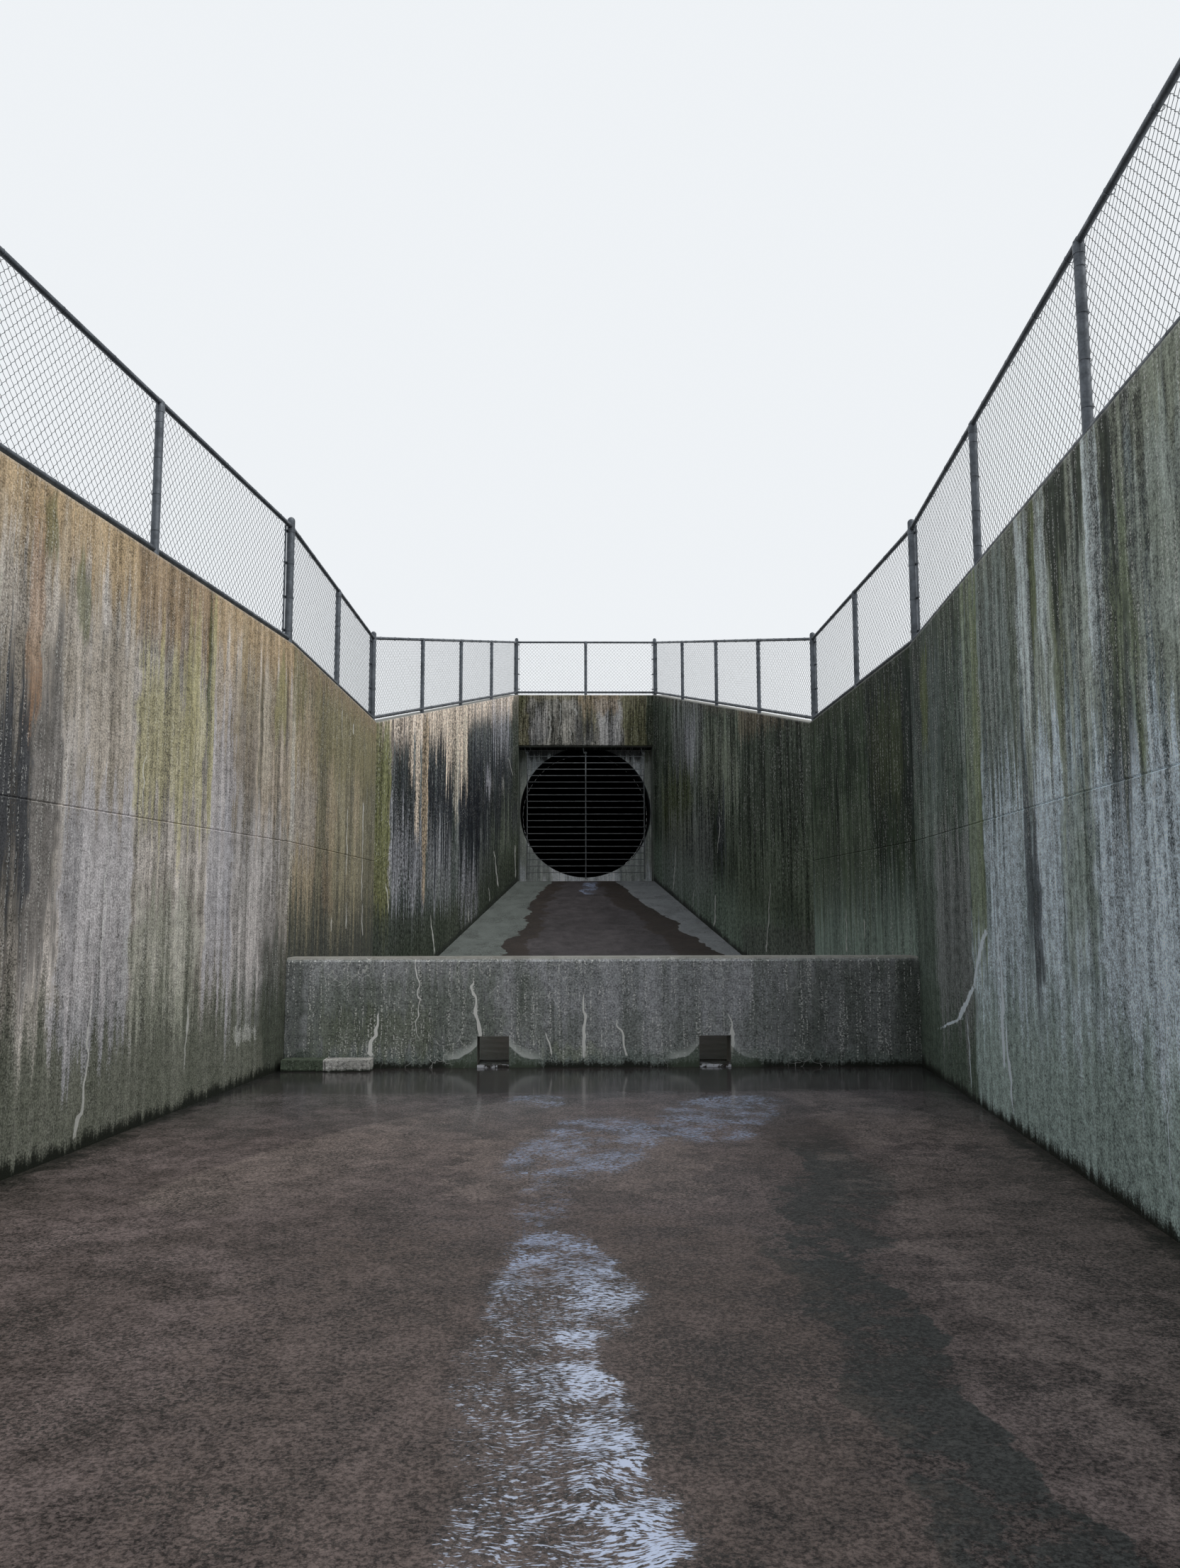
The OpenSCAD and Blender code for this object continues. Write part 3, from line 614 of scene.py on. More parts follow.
# %% Left channel wall
channel_left = stained_wall(
    "concrete_channel_left", (-HALF_W, KINK_Y, FLOOR_Z), down, (down[1], -down[0], 0.0), LEVEL,
    body=((0.36, 0.335, 0.3), (0.62, 0.575, 0.545)), crown=((0.49, 0.365, 0.22), 0.5),
    base=((0.14, 0.155, 0.122), 0.88),
    marks=[
        ("tan", -0.2, 1.72, 2.2, 3.6, 0.05, 0.4, 0.9, 0.5, 0.5),
        ("olive", 0.0, 1.3, 2.8, 3.5, 0.2, 0.3, 1.2, 0.3, 0.5),
        ("brown", 1.82, 3.0, 3.3, 4.0, 0.04, 0.12, 0.9, 0.6, 0.3),
        ("yellow", 0.15, 0.46, 3.0, 3.62, 0.04, 0.2, 1.1, 0.75, 0.3),
        ("soot", 0.12, 0.17, 2.6, 3.6, 0.012, 0.4, 0.9, 0.5, 0.3),
        ("cream", 0.5, 0.72, 2.5, 3.45, 0.05, 0.3, 1.1, 0.5, 0.3),
        ("shade", 0.72, 0.8, 2.2, 3.4, 0.02, 0.4, 1.0, 0.5, 0.5),
        ("shade", 0.32, 0.36, 2.0, 3.1, 0.01, 0.4, 1.0, 0.4, 0.5),
        ("coal", 0.86, 1.3, 2.0, 2.9, 0.06, 0.35, 1.6, 0.45, 0.6),
        ("haze", 1.3, 1.78, 0.9, 2.9, 0.05, 0.5, 1.2, 0.6, 0.4),
        ("haze", 0.2, 1.4, 0.6, 2.2, 0.2, 0.35, 1.4, 0.3, 0.4),
        ("lichen", 1.74, 1.815, 2.2, 3.95, 0.012, 0.3, 0.9, 0.8, 0.3),
        ("moss", 1.815, 1.88, 2.7, 3.95, 0.012, 0.3, 0.9, 0.75, 0.5),
        ("lichen", 1.88, 2.95, 2.1, 3.2, 0.08, 0.35, 1.0, 0.7, 0.5),
        ("yellow", 2.05, 2.3, 2.5, 3.5, 0.08, 0.25, 1.2, 0.6, 0.5),
        ("sage", 1.9, 2.95, 0.7, 1.5, 0.2, 0.35, 1.0, 0.5, 0.3),
        ("clay", 3.02, 3.6, 2.0, 3.3, 0.1, 0.3, 1.1, 0.6, 0.5),
        ("clay", 3.6, 4.6, 2.6, 3.6, 0.2, 0.3, 1.2, 0.5, 0.5),
        ("haze", 2.95, 3.8, 0.6, 2.1, 0.08, 0.3, 1.4, 0.55, 0.3),
        ("coal", 3.85, 4.6, 1.2, 2.8, 0.06, 0.45, 1.5, 0.8, 0.6),
        ("soot", 4.14, 4.6, 1.5, 2.6, 0.04, 0.35, 1.5, 0.8, 0.5),
        ("soot", 3.62, 3.78, 1.5, 2.4, 0.03, 0.4, 1.4, 0.3, 0.6),
        ("rust", 4.1, 4.25, 2.7, 3.75, 0.03, 0.4, 0.8, 0.5, 0.4),
        ("moss", 3.6, 3.75, 3.2, 3.6, 0.03, 0.15, 0.8, 0.6, 0.3),
        ("moss", 4.0, 4.14, 3.5, 3.85, 0.03, 0.12, 0.8, 0.6, 0.2),
        ("shade", -0.3, 0.6, -0.2, 1.3, 0.2, 0.4, 1.0, 0.7, 0.2),
        ("lime", 0.7, 1.2, 0.36, 0.46, 0.08, 0.04, 1.3, 0.3, 0.05),
        ("coal", 5.4, 6.6, 1.2, 3.2, 0.2, 0.6, 1.3, 0.5, 0.6),
        ("sage", 4.6, 5.4, 1.6, 3.4, 0.2, 0.5, 1.1, 0.5, 0.5),
        ("olive", 7.2, 8.4, 1.8, 3.6, 0.3, 0.5, 1.0, 0.5, 0.5),
    ],
    runs=[
        (3.27, 1.7, 3.27, 1.05, 0.01, 0.0), (3.37, 0.88, 3.48, 0.08, 0.012, 0.015),
        (2.0, 0.75, 2.07, 0.3, 0.016, 0.01), (2.82, 2.45, 2.82, 2.1, 0.012, 0.0),
    ],
    seed=3.0, phase=0.64, look=(0.3, 0.36, 0.12, 0.45, 0.9), sand=75.0, calm=1.0, tide=0.09, lime=0.55)

# %% Left basin wall
basin_left = stained_wall(
    "concrete_basin_left", (-HALF_W, KINK_Y, FLOOR_Z), (0.0, 1.0, 0.0), (-1.0, 0.0, 0.0), LEVEL,
    body=((0.19, 0.175, 0.125), (0.32, 0.29, 0.2)), crown=((0.31, 0.245, 0.165), 0.3),
    base=((0.065, 0.074, 0.07), 1.5),
    marks=[
        ("tan", -0.3, 1.07, 1.6, 3.5, 0.015, 0.35, 0.8, 0.5, 0.4),
        ("haze", -0.3, 1.05, 2.0, 2.7, 0.1, 0.3, 1.0, 0.3, 0.3),
        ("lime", -0.2, 0.12, 1.6, 3.4, 0.04, 0.3, 1.2, 0.3, 0.4),
        ("olive", -0.2, 0.5, 3.2, 3.8, 0.1, 0.15, 0.9, 0.6, 0.2),
        ("olive", 0.9, 4.6, 2.95, 3.75, 0.15, 0.25, 1.0, 0.6, 0.3),
        ("tan", 1.5, 2.0, 2.0, 2.95, 0.1, 0.35, 0.9, 0.4, 0.3),
        ("tan", 3.0, 3.4, 2.3, 3.0, 0.1, 0.3, 0.9, 0.3, 0.3),
        ("shade", 3.7, 4.8, 1.0, 3.0, 0.3, 0.6, 1.0, 0.4, 0.5),
        ("brown", 1.4, 1.9, 1.4, 2.0, 0.15, 0.2, 0.9, 0.4, 0.2),
    ],
    runs=[
        (2.66, 2.6, 2.68, 1.85, 0.03, 0.01), (2.7, 1.5, 2.74, 1.2, 0.04, 0.03),
        (3.66, 2.75, 3.66, 1.55, 0.05, 0.0), (3.68, 1.5, 3.76, 1.1, 0.04, 0.03),
        (2.28, 3.7, 2.28, 3.35, 0.02, 0.0), (2.93, 3.62, 2.93, 3.5, 0.05, 0.0),
        (1.92, 1.32, 1.94, 1.2, 0.04, 0.0),
    ],
    seed=11.0, phase=0.13, look=(0.2, 0.1, 0.03, 0.6, 1.0), calm=2.2)

# %% Left wing wall
wing_left = stained_wall(
    "concrete_wing_left", (-HALF_W, CORNER_Y, FLOOR_Z), wing, (-wing[1], wing[0], 0.0), RISING,
    body=((0.076, 0.094, 0.09), (0.16, 0.176, 0.176)), crown=((0.84, 0.72, 0.62), 0.46),
    base=((0.06, 0.072, 0.052), 0.75),
    marks=[
        ("olive", -0.6, 0.6, 1.2, 4.0, 0.1, 0.5, 1.2, 0.8, 0.4),
        ("moss", -0.1, 0.55, 1.3, 3.9, 0.08, 0.4, 1.8, 0.6, 0.6),
        ("haze", 0.65, 2.2, 1.6, 2.7, 0.12, 0.3, 1.6, 0.55, 1.0),
        ("haze", 2.4, 3.7, 1.8, 2.6, 0.15, 0.25, 1.6, 0.35, 1.0),
        ("haze", 4.2, 5.5, 1.4, 2.1, 0.15, 0.25, 1.7, 0.55, 0.9),
        ("grey", 5.4, 6.5, 1.9, 2.6, 0.15, 0.25, 1.1, 0.4, 0.5),
        ("fern", 6.3, 8.9, 2.3, 3.9, 0.3, 0.4, 1.2, 0.4, 0.6),
        ("haze", 8.2, 8.85, 3.0, 3.9, 0.1, 0.3, 1.0, 0.2, 0.3),
        ("black", 0.65, 1.8, 2.5, 3.75, 0.06, 0.3, 1.3, 0.75, 1.5),
        ("black", 2.32, 3.75, 2.45, 3.95, 0.05, 0.35, 1.1, 0.9, 1.5),
        ("black", 4.2, 5.6, 2.2, 4.2, 0.06, 0.35, 0.9, 0.96, 1.5),
        ("black", 5.3, 7.2, 2.55, 4.35, 0.3, 0.35, 1.1, 0.9, 1.5),
        ("black", 7.0, 8.9, 3.1, 4.6, 0.3, 0.4, 1.1, 0.8, 1.5),
        ("soot", 4.9, 8.0, 4.1, 4.8, 0.15, 0.3, 1.3, 0.6, 0.9),
        ("haze", 6.4, 7.9, 4.6, 5.4, 0.15, 0.3, 1.2, 0.5, 0.8),
        ("shade", 8.25, 8.9, 3.6, 5.9, 0.1, 0.4, 0.8, 0.85, 0.3),
        ("shade", -0.5, 3.4, -0.5, 1.4, 0.5, 0.15, 0.9, 0.8, 0.3),
        ("shade", 5.6, 9.4, 0.5, 2.5, 0.5, 0.3, 1.1, 0.6, 0.3),
        ("blush", 1.4, 1.6, 3.3, 4.2, 0.03, 0.2, 0.9, 0.85, 0.4),
        ("blush", 1.72, 1.95, 2.5, 4.3, 0.03, 0.3, 0.8, 0.9, 0.3),
        ("tan", 2.06, 2.36, 2.3, 4.4, 0.03, 0.25, 0.8, 0.9, 0.3),
        ("tan", 2.12, 2.28, 1.6, 2.6, 0.03, 0.25, 0.9, 0.8, 0.2),
        ("blush", 2.4, 3.4, 4.0, 4.7, 0.1, 0.15, 1.1, 0.6, 0.7),
        ("blush", 3.35, 4.75, 3.75, 4.9, 0.08, 0.25, 0.9, 0.95, 1.1),
        ("cream", 3.8, 4.1, 3.0, 4.4, 0.06, 0.35, 0.9, 0.7, 0.5),
        ("cream", 4.4, 4.62, 3.6, 4.6, 0.04, 0.3, 0.9, 0.7, 0.4),
        ("haze", 6.0, 6.4, 3.6, 3.95, 0.08, 0.1, 1.3, 0.5, 0.3),
        ("lime", 7.3, 7.5, 3.7, 4.0, 0.05, 0.1, 1.3, 0.3, 0.3),
    ],
    runs=[
        (0.5, 1.75, 0.6, 1.38, 0.03, 0.0), (2.58, 1.35, 2.82, 0.75, 0.04, 0.01),
        (4.85, 1.4, 4.93, 1.08, 0.05, 0.02), (6.72, 2.5, 7.05, 1.85, 0.05, 0.03),
        (6.33, 1.8, 6.38, 1.55, 0.03, 0.0), (8.55, 2.7, 8.6, 2.05, 0.08, 0.0),
        (7.9, 4.45, 8.3, 4.15, 0.05, 0.0),
    ],
    seed=23.0, phase=0.4, look=(0.55, 0.7, 0.22, 1.0, 1.0), sand=30.0, calm=2.6)

# %% Right channel wall
channel_right = stained_wall(
    "concrete_channel_right", (HALF_W, KINK_Y, FLOOR_Z), down, (-down[1], down[0], 0.0), LEVEL,
    body=((0.31, 0.385, 0.4), (0.6, 0.71, 0.77)), crown=((0.27, 0.29, 0.25), 0.35),
    base=((0.35, 0.445, 0.42), 0.8),
    marks=[
        ("sage", 2.4, 9.6, 2.3, 4.2, 0.2, 0.5, 1.2, 0.75, 0.9),
        ("mist", 2.5, 3.3, 2.5, 3.9, 0.05, 0.4, 1.8, 0.4, 0.8),
        # The next two rows darken the end by the weir: dark green stain, with painted shade over it that is
        # darkest at the top.
        ("bottle", -0.5, 2.05, -0.5, 4.2, 0.05, 0.4, 0.9, 0.85, 0.2),
        ("black", -0.5, 1.2, 2.7, 4.2, 0.2, 0.4, 1.2, 0.45, 0.5),
        ("grey", 0.9, 2.0, 0.5, 2.0, 0.2, 0.4, 1.1, 0.7, 0.4),
        ("bottle", 2.5, 3.5, 2.2, 4.0, 0.1, 0.5, 1.4, 0.6, 0.8),
        ("moss", 0.45, 0.78, 2.9, 3.6, 0.05, 0.2, 0.9, 0.75, 0.4),
        ("fern", 2.05, 2.5, 1.2, 3.95, 0.02, 0.35, 1.0, 0.8, 0.5),
        ("moss", 2.3, 2.5, 1.6, 3.7, 0.05, 0.4, 1.0, 0.4, 0.5),
        ("mist", 2.55, 3.4, 0.9, 2.3, 0.1, 0.35, 1.1, 0.7, 0.5),
        ("mist", 3.75, 4.2, 1.2, 2.4, 0.08, 0.3, 1.0, 0.75, 0.4),
        ("mist", 4.75, 5.9, 0.9, 2.2, 0.1, 0.35, 1.0, 0.9, 0.4),
        ("fern", 4.2, 4.7, 1.2, 2.0, 0.08, 0.3, 1.1, 0.45, 0.4),
        ("chalk", 3.5, 3.8, 2.7, 3.95, 0.04, 0.15, 1.2, 0.38, 0.5),
        ("moss", 3.8, 3.93, 3.0, 3.95, 0.015, 0.25, 0.9, 0.8, 0.4),
        ("chalk", 3.95, 4.13, 3.0, 3.95, 0.02, 0.2, 1.2, 0.3, 0.5),
        ("shade", 4.15, 4.5, 3.2, 4.2, 0.03, 0.25, 1.1, 0.98, 0.6),
        ("moss", 4.2, 4.42, 2.6, 3.2, 0.04, 0.3, 1.0, 0.6, 0.6),
        ("shade", 4.65, 4.78, 3.4, 4.2, 0.02, 0.25, 1.1, 0.95, 0.6),
        ("chalk", 4.8, 5.02, 2.7, 3.95, 0.02, 0.2, 1.2, 0.45, 0.5),
        ("shade", 5.05, 5.2, 3.2, 4.2, 0.02, 0.25, 1.1, 0.9, 0.6),
        ("fern", 5.05, 5.4, 2.1, 3.2, 0.05, 0.35, 1.0, 0.7, 0.5),
        ("soot", 5.02, 5.3, 1.9, 2.6, 0.04, 0.3, 1.3, 0.6, 0.6),
        ("shade", 3.5, 3.56, 2.0, 2.6, 0.015, 0.2, 1.2, 0.8, 0.3),
        ("soot", 3.48, 3.74, 1.0, 2.1, 0.06, 0.35, 1.9, 0.85, 0.5),
        ("shade", 6.4, 7.4, 1.4, 3.4, 0.3, 0.6, 1.0, 0.6, 0.6),
    ],
    runs=[
        (2.78, 1.3, 2.82, 0.38, 0.035, 0.012), (2.89, 0.65, 2.97, 0.12, 0.03, 0.01),
        (1.77, 0.65, 1.83, 0.1, 0.02, 0.0), (5.47, 1.5, 5.47, 0.2, 0.008, 0.0),
        (2.8, 0.98, 2.83, 0.42, 0.045, 0.01), (2.45, 1.28, 2.0, 0.85, 0.08, 0.0),
        (2.05, 0.87, 1.5, 0.56, 0.11, 0.0), (1.55, 0.57, 0.9, 0.44, 0.12, 0.0),
    ],
    seed=31.0, phase=0.3, look=(0.4, 0.6, 0.16, 0.6, 0.9), sand=75.0, calm=2.4, tide=0.08, lime=0.95,
    white="chalk")

# %% Right basin wall
# This wall's near-black body and its black stain near the top are dark green stain with painted shade over
# them; only the foot is pale.
basin_right = stained_wall(
    "concrete_basin_right", (HALF_W, KINK_Y, FLOOR_Z), (0.0, 1.0, 0.0), (1.0, 0.0, 0.0), LEVEL,
    body=((0.019, 0.029, 0.018), (0.045, 0.065, 0.04)), crown=((0.045, 0.058, 0.036), 0.2),
    base=((0.27, 0.35, 0.31), 1.6),
    marks=[
        ("black", -0.4, 1.6, 2.4, 3.9, 0.1, 0.4, 1.1, 0.55, 0.5),
        ("moss", 0.3, 1.5, 2.5, 3.6, 0.15, 0.3, 1.0, 0.3, 0.5),
        ("green", 1.5, 4.4, 1.4, 2.6, 0.3, 0.4, 1.1, 0.4, 0.5),
    ],
    runs=[(2.75, 1.4, 2.75, 0.9, 0.03, 0.01), (1.95, 1.3, 1.95, 1.1, 0.03, 0.0)],
    seed=43.0, phase=0.34, look=(0.4, 0.6, 0.2, 0.5, 0.5), sand=45.0)

# %% Right wing wall
# Its dark body is dark green and grey stain with painted shade over it.
wing_right = stained_wall(
    "concrete_wing_right", (HALF_W, CORNER_Y, FLOOR_Z), (-wing[0], wing[1], 0.0), (wing[1], wing[0], 0.0),
    RISING,
    body=((0.032, 0.044, 0.03), (0.088, 0.108, 0.082)), crown=((0.1, 0.1, 0.08), 0.14),
    base=((0.185, 0.24, 0.195), 0.95),
    marks=[
        ("shade", -0.2, 3.1, 2.4, 4.1, 0.3, 0.4, 1.0, 0.65, 0.9),
        ("brown", 0.8, 3.0, 4.1, 4.7, 0.25, 0.12, 1.0, 0.3, 0.3),
        ("sage", 3.2, 5.3, 3.3, 4.5, 0.25, 0.35, 1.2, 0.4, 0.9),
        ("grey", 5.1, 7.2, 3.95, 5.35, 0.2, 0.35, 1.1, 0.5, 0.9),
        ("haze", 5.6, 6.3, 4.0, 4.9, 0.15, 0.3, 1.1, 0.35, 0.7),
        ("moss", 5.9, 8.0, 2.6, 4.0, 0.3, 0.4, 1.1, 0.5, 0.7),
        ("soot", 3.85, 4.3, 2.2, 3.2, 0.1, 0.35, 1.0, 0.7, 0.6),
        ("grey", 4.5, 8.0, 1.6, 3.2, 0.4, 0.5, 1.1, 0.4, 0.5),
        ("green", -0.2, 3.2, 1.2, 2.4, 0.3, 0.4, 1.1, 0.5, 0.6),
        ("coal", -0.2, 3.0, -0.2, 1.15, 0.3, 0.1, 0.8, 0.5, 0.1),
        ("shade", 8.0, 8.9, 4.2, 5.9, 0.2, 0.4, 1.0, 0.7, 0.5),
    ],
    runs=[
        (7.0, 2.6, 7.3, 1.72, 0.035, 0.02), (4.42, 1.65, 4.55, 1.12, 0.05, 0.03),
        (4.12, 2.95, 4.3, 2.35, 0.03, 0.0), (1.68, 1.8, 1.9, 0.8, 0.03, 0.01),
        (5.8, 1.75, 5.88, 1.45, 0.03, 0.0),
    ],
    seed=59.0, phase=0.8, look=(0.6, 0.75, 0.3, 0.8, 0.7), sand=30.0, calm=2.4)

# %% Put a finish on each wall
FINISHES = {
    "channel_wall_left": channel_left, "channel_wall_right": channel_right, "basin_wall_left": basin_left,
    "basin_wall_right": basin_right, "wing_wall_left": wing_left, "wing_wall_right": wing_right,
}
for name, material in FINISHES.items():
    dress(material, name + "_lower", name + "_upper")

# %% [markdown]
# ## The headwall
# The beam over the recess is streaked like the walls, with white lime between olive sides. The bulkhead
# around the barrel is a paler blue grey, and the roof of the recess and the bore are painted black: painted
# shade, for the dark inside them. The bore needs its own colour: it is everything closer to the barrel's
# axis than the bore's radius.

# %% The beam
SOFFIT_Z, BULKHEAD_Y = 5.13, 13.75
beam = stained_wall(
    "concrete_beam", (-PORTAL_HALF, HEAD_Y, FLOOR_Z), (1.0, 0.0, 0.0), (0.0, 1.0, 0.0), LEVEL,
    body=((0.135, 0.135, 0.12), (0.3, 0.29, 0.265)), crown=((0.21, 0.195, 0.145), 0.12),
    base=((0.3, 0.305, 0.31), 0.12),
    marks=[
        ("drab", -0.1, 0.2, 4.0, 6.2, 0.04, 0.1, 0.8, 0.85, 0.2),
        ("moss", -0.1, 0.12, 5.4, 6.2, 0.04, 0.15, 1.1, 0.3, 0.2),
        ("haze", 0.2, 0.62, 4.9, 5.6, 0.06, 0.2, 1.1, 0.2, 0.4),
        ("olive", 1.3, 1.62, 5.2, 6.0, 0.06, 0.2, 1.0, 0.5, 0.4),
        ("brown", 1.3, 2.1, 5.55, 6.0, 0.06, 0.12, 1.0, 0.5, 0.3),
        ("drab", 2.22, 2.95, 4.0, 6.0, 0.05, 0.2, 0.8, 0.85, 0.3),
        ("moss", 2.3, 2.95, 4.2, 5.7, 0.08, 0.3, 1.3, 0.3, 0.4),
        ("shade", 2.7, 2.95, 4.6, 6.1, 0.03, 0.2, 0.7, 0.85, 0.2),
        ("haze", 1.72, 2.15, 4.6, 5.5, 0.06, 0.2, 1.1, 0.3, 0.4),
        ("soot", 1.2, 1.55, 4.7, 5.5, 0.05, 0.25, 1.2, 0.5, 0.4),
        ("soot", 0.28, 0.5, 4.7, 5.2, 0.04, 0.2, 1.2, 0.4, 0.3),
    ],
    runs=[
        (0.66, 5.55, 0.65, 4.85, 0.03, 0.0), (0.86, 5.76, 0.86, 5.0, 0.02, 0.0),
        (1.1, 5.2, 1.1, 4.85, 0.02, 0.0), (1.8, 5.45, 1.8, 4.85, 0.035, 0.0),
        (2.1, 5.5, 2.1, 4.85, 0.02, 0.0), (1.19, 5.66, 1.25, 5.5, 0.05, 0.0),
    ],
    seed=71.0, phase=0.5, levels=(-9.0, -9.0, 5.92), look=(0.1, 0.55, 0.7, 0.6, 0.7), sand=30.0, lime=0.3)

# %% The recess's sides
# The black crown at the top of the sides is painted shade under the roof of the recess.
recess = stained_wall(
    "concrete_recess", (0.0, HEAD_Y, FLOOR_Z), (0.0, 1.0, 0.0), (1.0, 0.0, 0.0), LEVEL,
    body=((0.11, 0.135, 0.12), (0.24, 0.27, 0.24)), crown=((0.03, 0.03, 0.03), 0.9),
    base=((0.1, 0.12, 0.1), 2.1),
    marks=[("green", -1.0, 0.2, 2.0, 5.0, 0.1, 0.4, 1.0, 0.5, 0.3)],
    seed=83.0, levels=(0.0, -9.0, 5.92), skin=1.43)

# %% The recess's roof
# The roof of the recess is painted near black: painted shade under the beam.
recess_roof = stained_wall(
    "concrete_recess_roof", (0.0, HEAD_Y, SOFFIT_Z), (1.0, 0.0, 0.0), (0.0, 0.0, 1.0), LEVEL,
    body=((0.012, 0.013, 0.012), (0.03, 0.032, 0.03)), crown=((0.02, 0.02, 0.02), 0.2),
    base=((0.02, 0.02, 0.02), 0.2),
    seed=89.0, levels=(-9.0, -9.0, 9.0))

# %% The bulkhead
# The dark crown at its top is painted shade in the gap under the beam, and its pale body is partly painted
# light that makes up for the shade of the recess.
bulkhead_finish = stained_wall(
    "concrete_bulkhead", (-PORTAL_HALF, BULKHEAD_Y, FLOOR_Z), (1.0, 0.0, 0.0), (0.0, 1.0, 0.0), LEVEL,
    body=((0.62, 0.67, 0.7), (0.86, 0.9, 0.93)), crown=((0.05, 0.052, 0.054), 0.2),
    base=((0.26, 0.305, 0.275), 2.0),
    marks=[
        ("sage", -0.1, 0.16, 2.2, 4.9, 0.03, 0.3, 0.9, 0.7, 0.3),
        ("sage", 2.68, 2.95, 2.2, 4.9, 0.03, 0.3, 0.9, 0.7, 0.3),
        ("green", 0.1, 0.7, 1.9, 2.8, 0.1, 0.3, 0.9, 0.6, 0.3),
        ("green", 2.1, 2.7, 1.9, 2.8, 0.1, 0.3, 0.9, 0.6, 0.3),
    ],
    runs=[(0.2, 4.6, 0.2, 4.0, 0.03, 0.0), (2.66, 4.5, 2.66, 3.9, 0.03, 0.0)],
    seed=97.0, levels=(-9.0, -9.0, 4.83), span=(-0.01, 2 * PORTAL_HALF + 0.01))

# %% The barrel
barrel = stained_wall(
    "concrete_barrel", (0.0, BULKHEAD_Y, FLOOR_Z), (1.0, 0.0, 0.0), (0.0, 1.0, 0.0), LEVEL,
    body=((0.2, 0.2, 0.18), (0.3, 0.3, 0.27)), crown=((0.3, 0.3, 0.27), 0.2),
    base=((0.2, 0.2, 0.18), 0.2),
    seed=101.0, levels=(-9.0, -9.0, 9.0))


# %% Blacken the bore, and dress the headwall
def paint_bore_shade(material):
    """Paints shade into the bore: it darkens every point closer to the barrel's axis than its bore. That
    distance is the root of x squared and rise squared. The right side stays paler close to the mouth, a
    painted highlight where daylight reaches it."""
    tree, shader, point, pale = reopen(material)
    place = add(tree, "ShaderNodeSeparateXYZ", Vector=point).outputs
    rise = calc(tree, "SUBTRACT", place["Z"], BORE_Z)
    squares = calc(tree, "MULTIPLY_ADD", place["X"], place["X"], calc(tree, "MULTIPLY", rise, rise))
    away = calc(tree, "SQRT", squares)
    within = ramp(tree, away, BORE_R + 0.002, BORE_R + 0.012, 1.0, 0.0)
    patchy = noise(tree, point, 3.0, 5.0, 0.7)
    # Painted shade: the bore's inside is near black.
    colour = mix(tree, patchy, (0.003, 0.003, 0.003), (0.01, 0.011, 0.01))
    near_mouth = ramp(tree, place["Y"], BULKHEAD_Y + 0.55, BULKHEAD_Y)
    lit = calc(tree, "MULTIPLY", ramp(tree, place["X"], 0.8, 1.38), near_mouth)
    colour = mix(tree, lit, colour, mix(tree, patchy, (0.05, 0.055, 0.06), (0.13, 0.145, 0.16)))
    feed(tree, shader.inputs["Base Color"], mix(tree, within, pale, colour))


for material in (bulkhead_finish, barrel):
    paint_bore_shade(material)
dress(beam, "headwall_beam")
dress(recess, "portal_side_left", "portal_side_right")
dress(recess_roof, "portal_roof")
dress(bulkhead_finish, "bulkhead")
dress(barrel, "barrel_end")

# %% [markdown]
# ## The weir
# The weir's front is a damp blue grey, granular and pitted, with a pale top edge that is worn and carries a
# painted highlight. Lime has bled from cracks that widen as they go down, and the stream has washed the
# concrete pale beside the two drain notches. Fine crazing covers it: the edges between the cells of a point
# pattern, bent by noise.

# %% Weir finish
# Its pale crown, the top 15 mm, is wear and a painted highlight on the top edge.
weir = stained_wall(
    "concrete_weir", (-HALF_W, KINK_Y, FLOOR_Z), (1.0, 0.0, 0.0), (0.0, 1.0, 0.0), LEVEL,
    body=((0.22, 0.24, 0.235), (0.33, 0.345, 0.36)), crown=((0.38, 0.4, 0.41), 0.015),
    base=((0.19, 0.225, 0.21), 0.14),
    marks=[
        ("green", 0.2, 1.9, 0.1, 0.8, 0.25, 0.2, 1.3, 0.45, 0.3),
        ("shade", 4.5, 6.0, 0.1, 0.95, 0.35, 0.2, 1.2, 0.45, 0.2),
        ("haze", 2.2, 4.4, 0.5, 1.0, 0.5, 0.2, 1.2, 0.25, 0.2),
        ("moss", 0.3, 1.4, 0.15, 0.5, 0.2, 0.12, 1.2, 0.3, 0.2),
        ("sage", 2.33, 2.9, 0.08, 0.2, 0.1, 0.03, 1.0, 0.5, 0.08),
        ("green", 2.1, 2.35, 0.25, 0.8, 0.03, 0.15, 1.2, 0.4, 0.2),
        ("shade", -0.1, 0.2, 0.0, 1.0, 0.1, 0.1, 0.8, 0.5, 0.1),
        ("shade", 5.6, 5.9, 0.0, 1.0, 0.06, 0.1, 0.8, 0.5, 0.1),
    ],
    runs=[
        (0.82, 0.52, 0.8, 0.1, 0.008, 0.035), (1.68, 0.78, 1.75, 0.28, 0.008, 0.025),
        (2.74, 0.68, 2.74, 0.1, 0.008, 0.03), (2.75, 0.48, 2.74, 0.25, 0.02, 0.02),
        (3.01, 0.42, 3.13, 0.1, 0.008, 0.02), (4.03, 0.48, 4.09, 0.13, 0.008, 0.035),
        (1.2, 0.95, 1.22, 0.78, 0.014, 0.0), (1.215, 0.8, 1.215, 0.28, 0.006, 0.0),
        (2.35, 0.3, 2.4, 0.1, 0.01, 0.02),
    ],
    seed=113.0, levels=(0.0, -9.0, 0.99), look=(0.1, 0.06, 0.03, 0.45, 0.85), sand=60.0, calm=0.1,
    tide=0.06, lime=0.95)


# %% Crazing and worn notches
WEIR_FRONT, NOTCH_X, NOTCH_HALF = KINK_Y, 1.01, 0.145


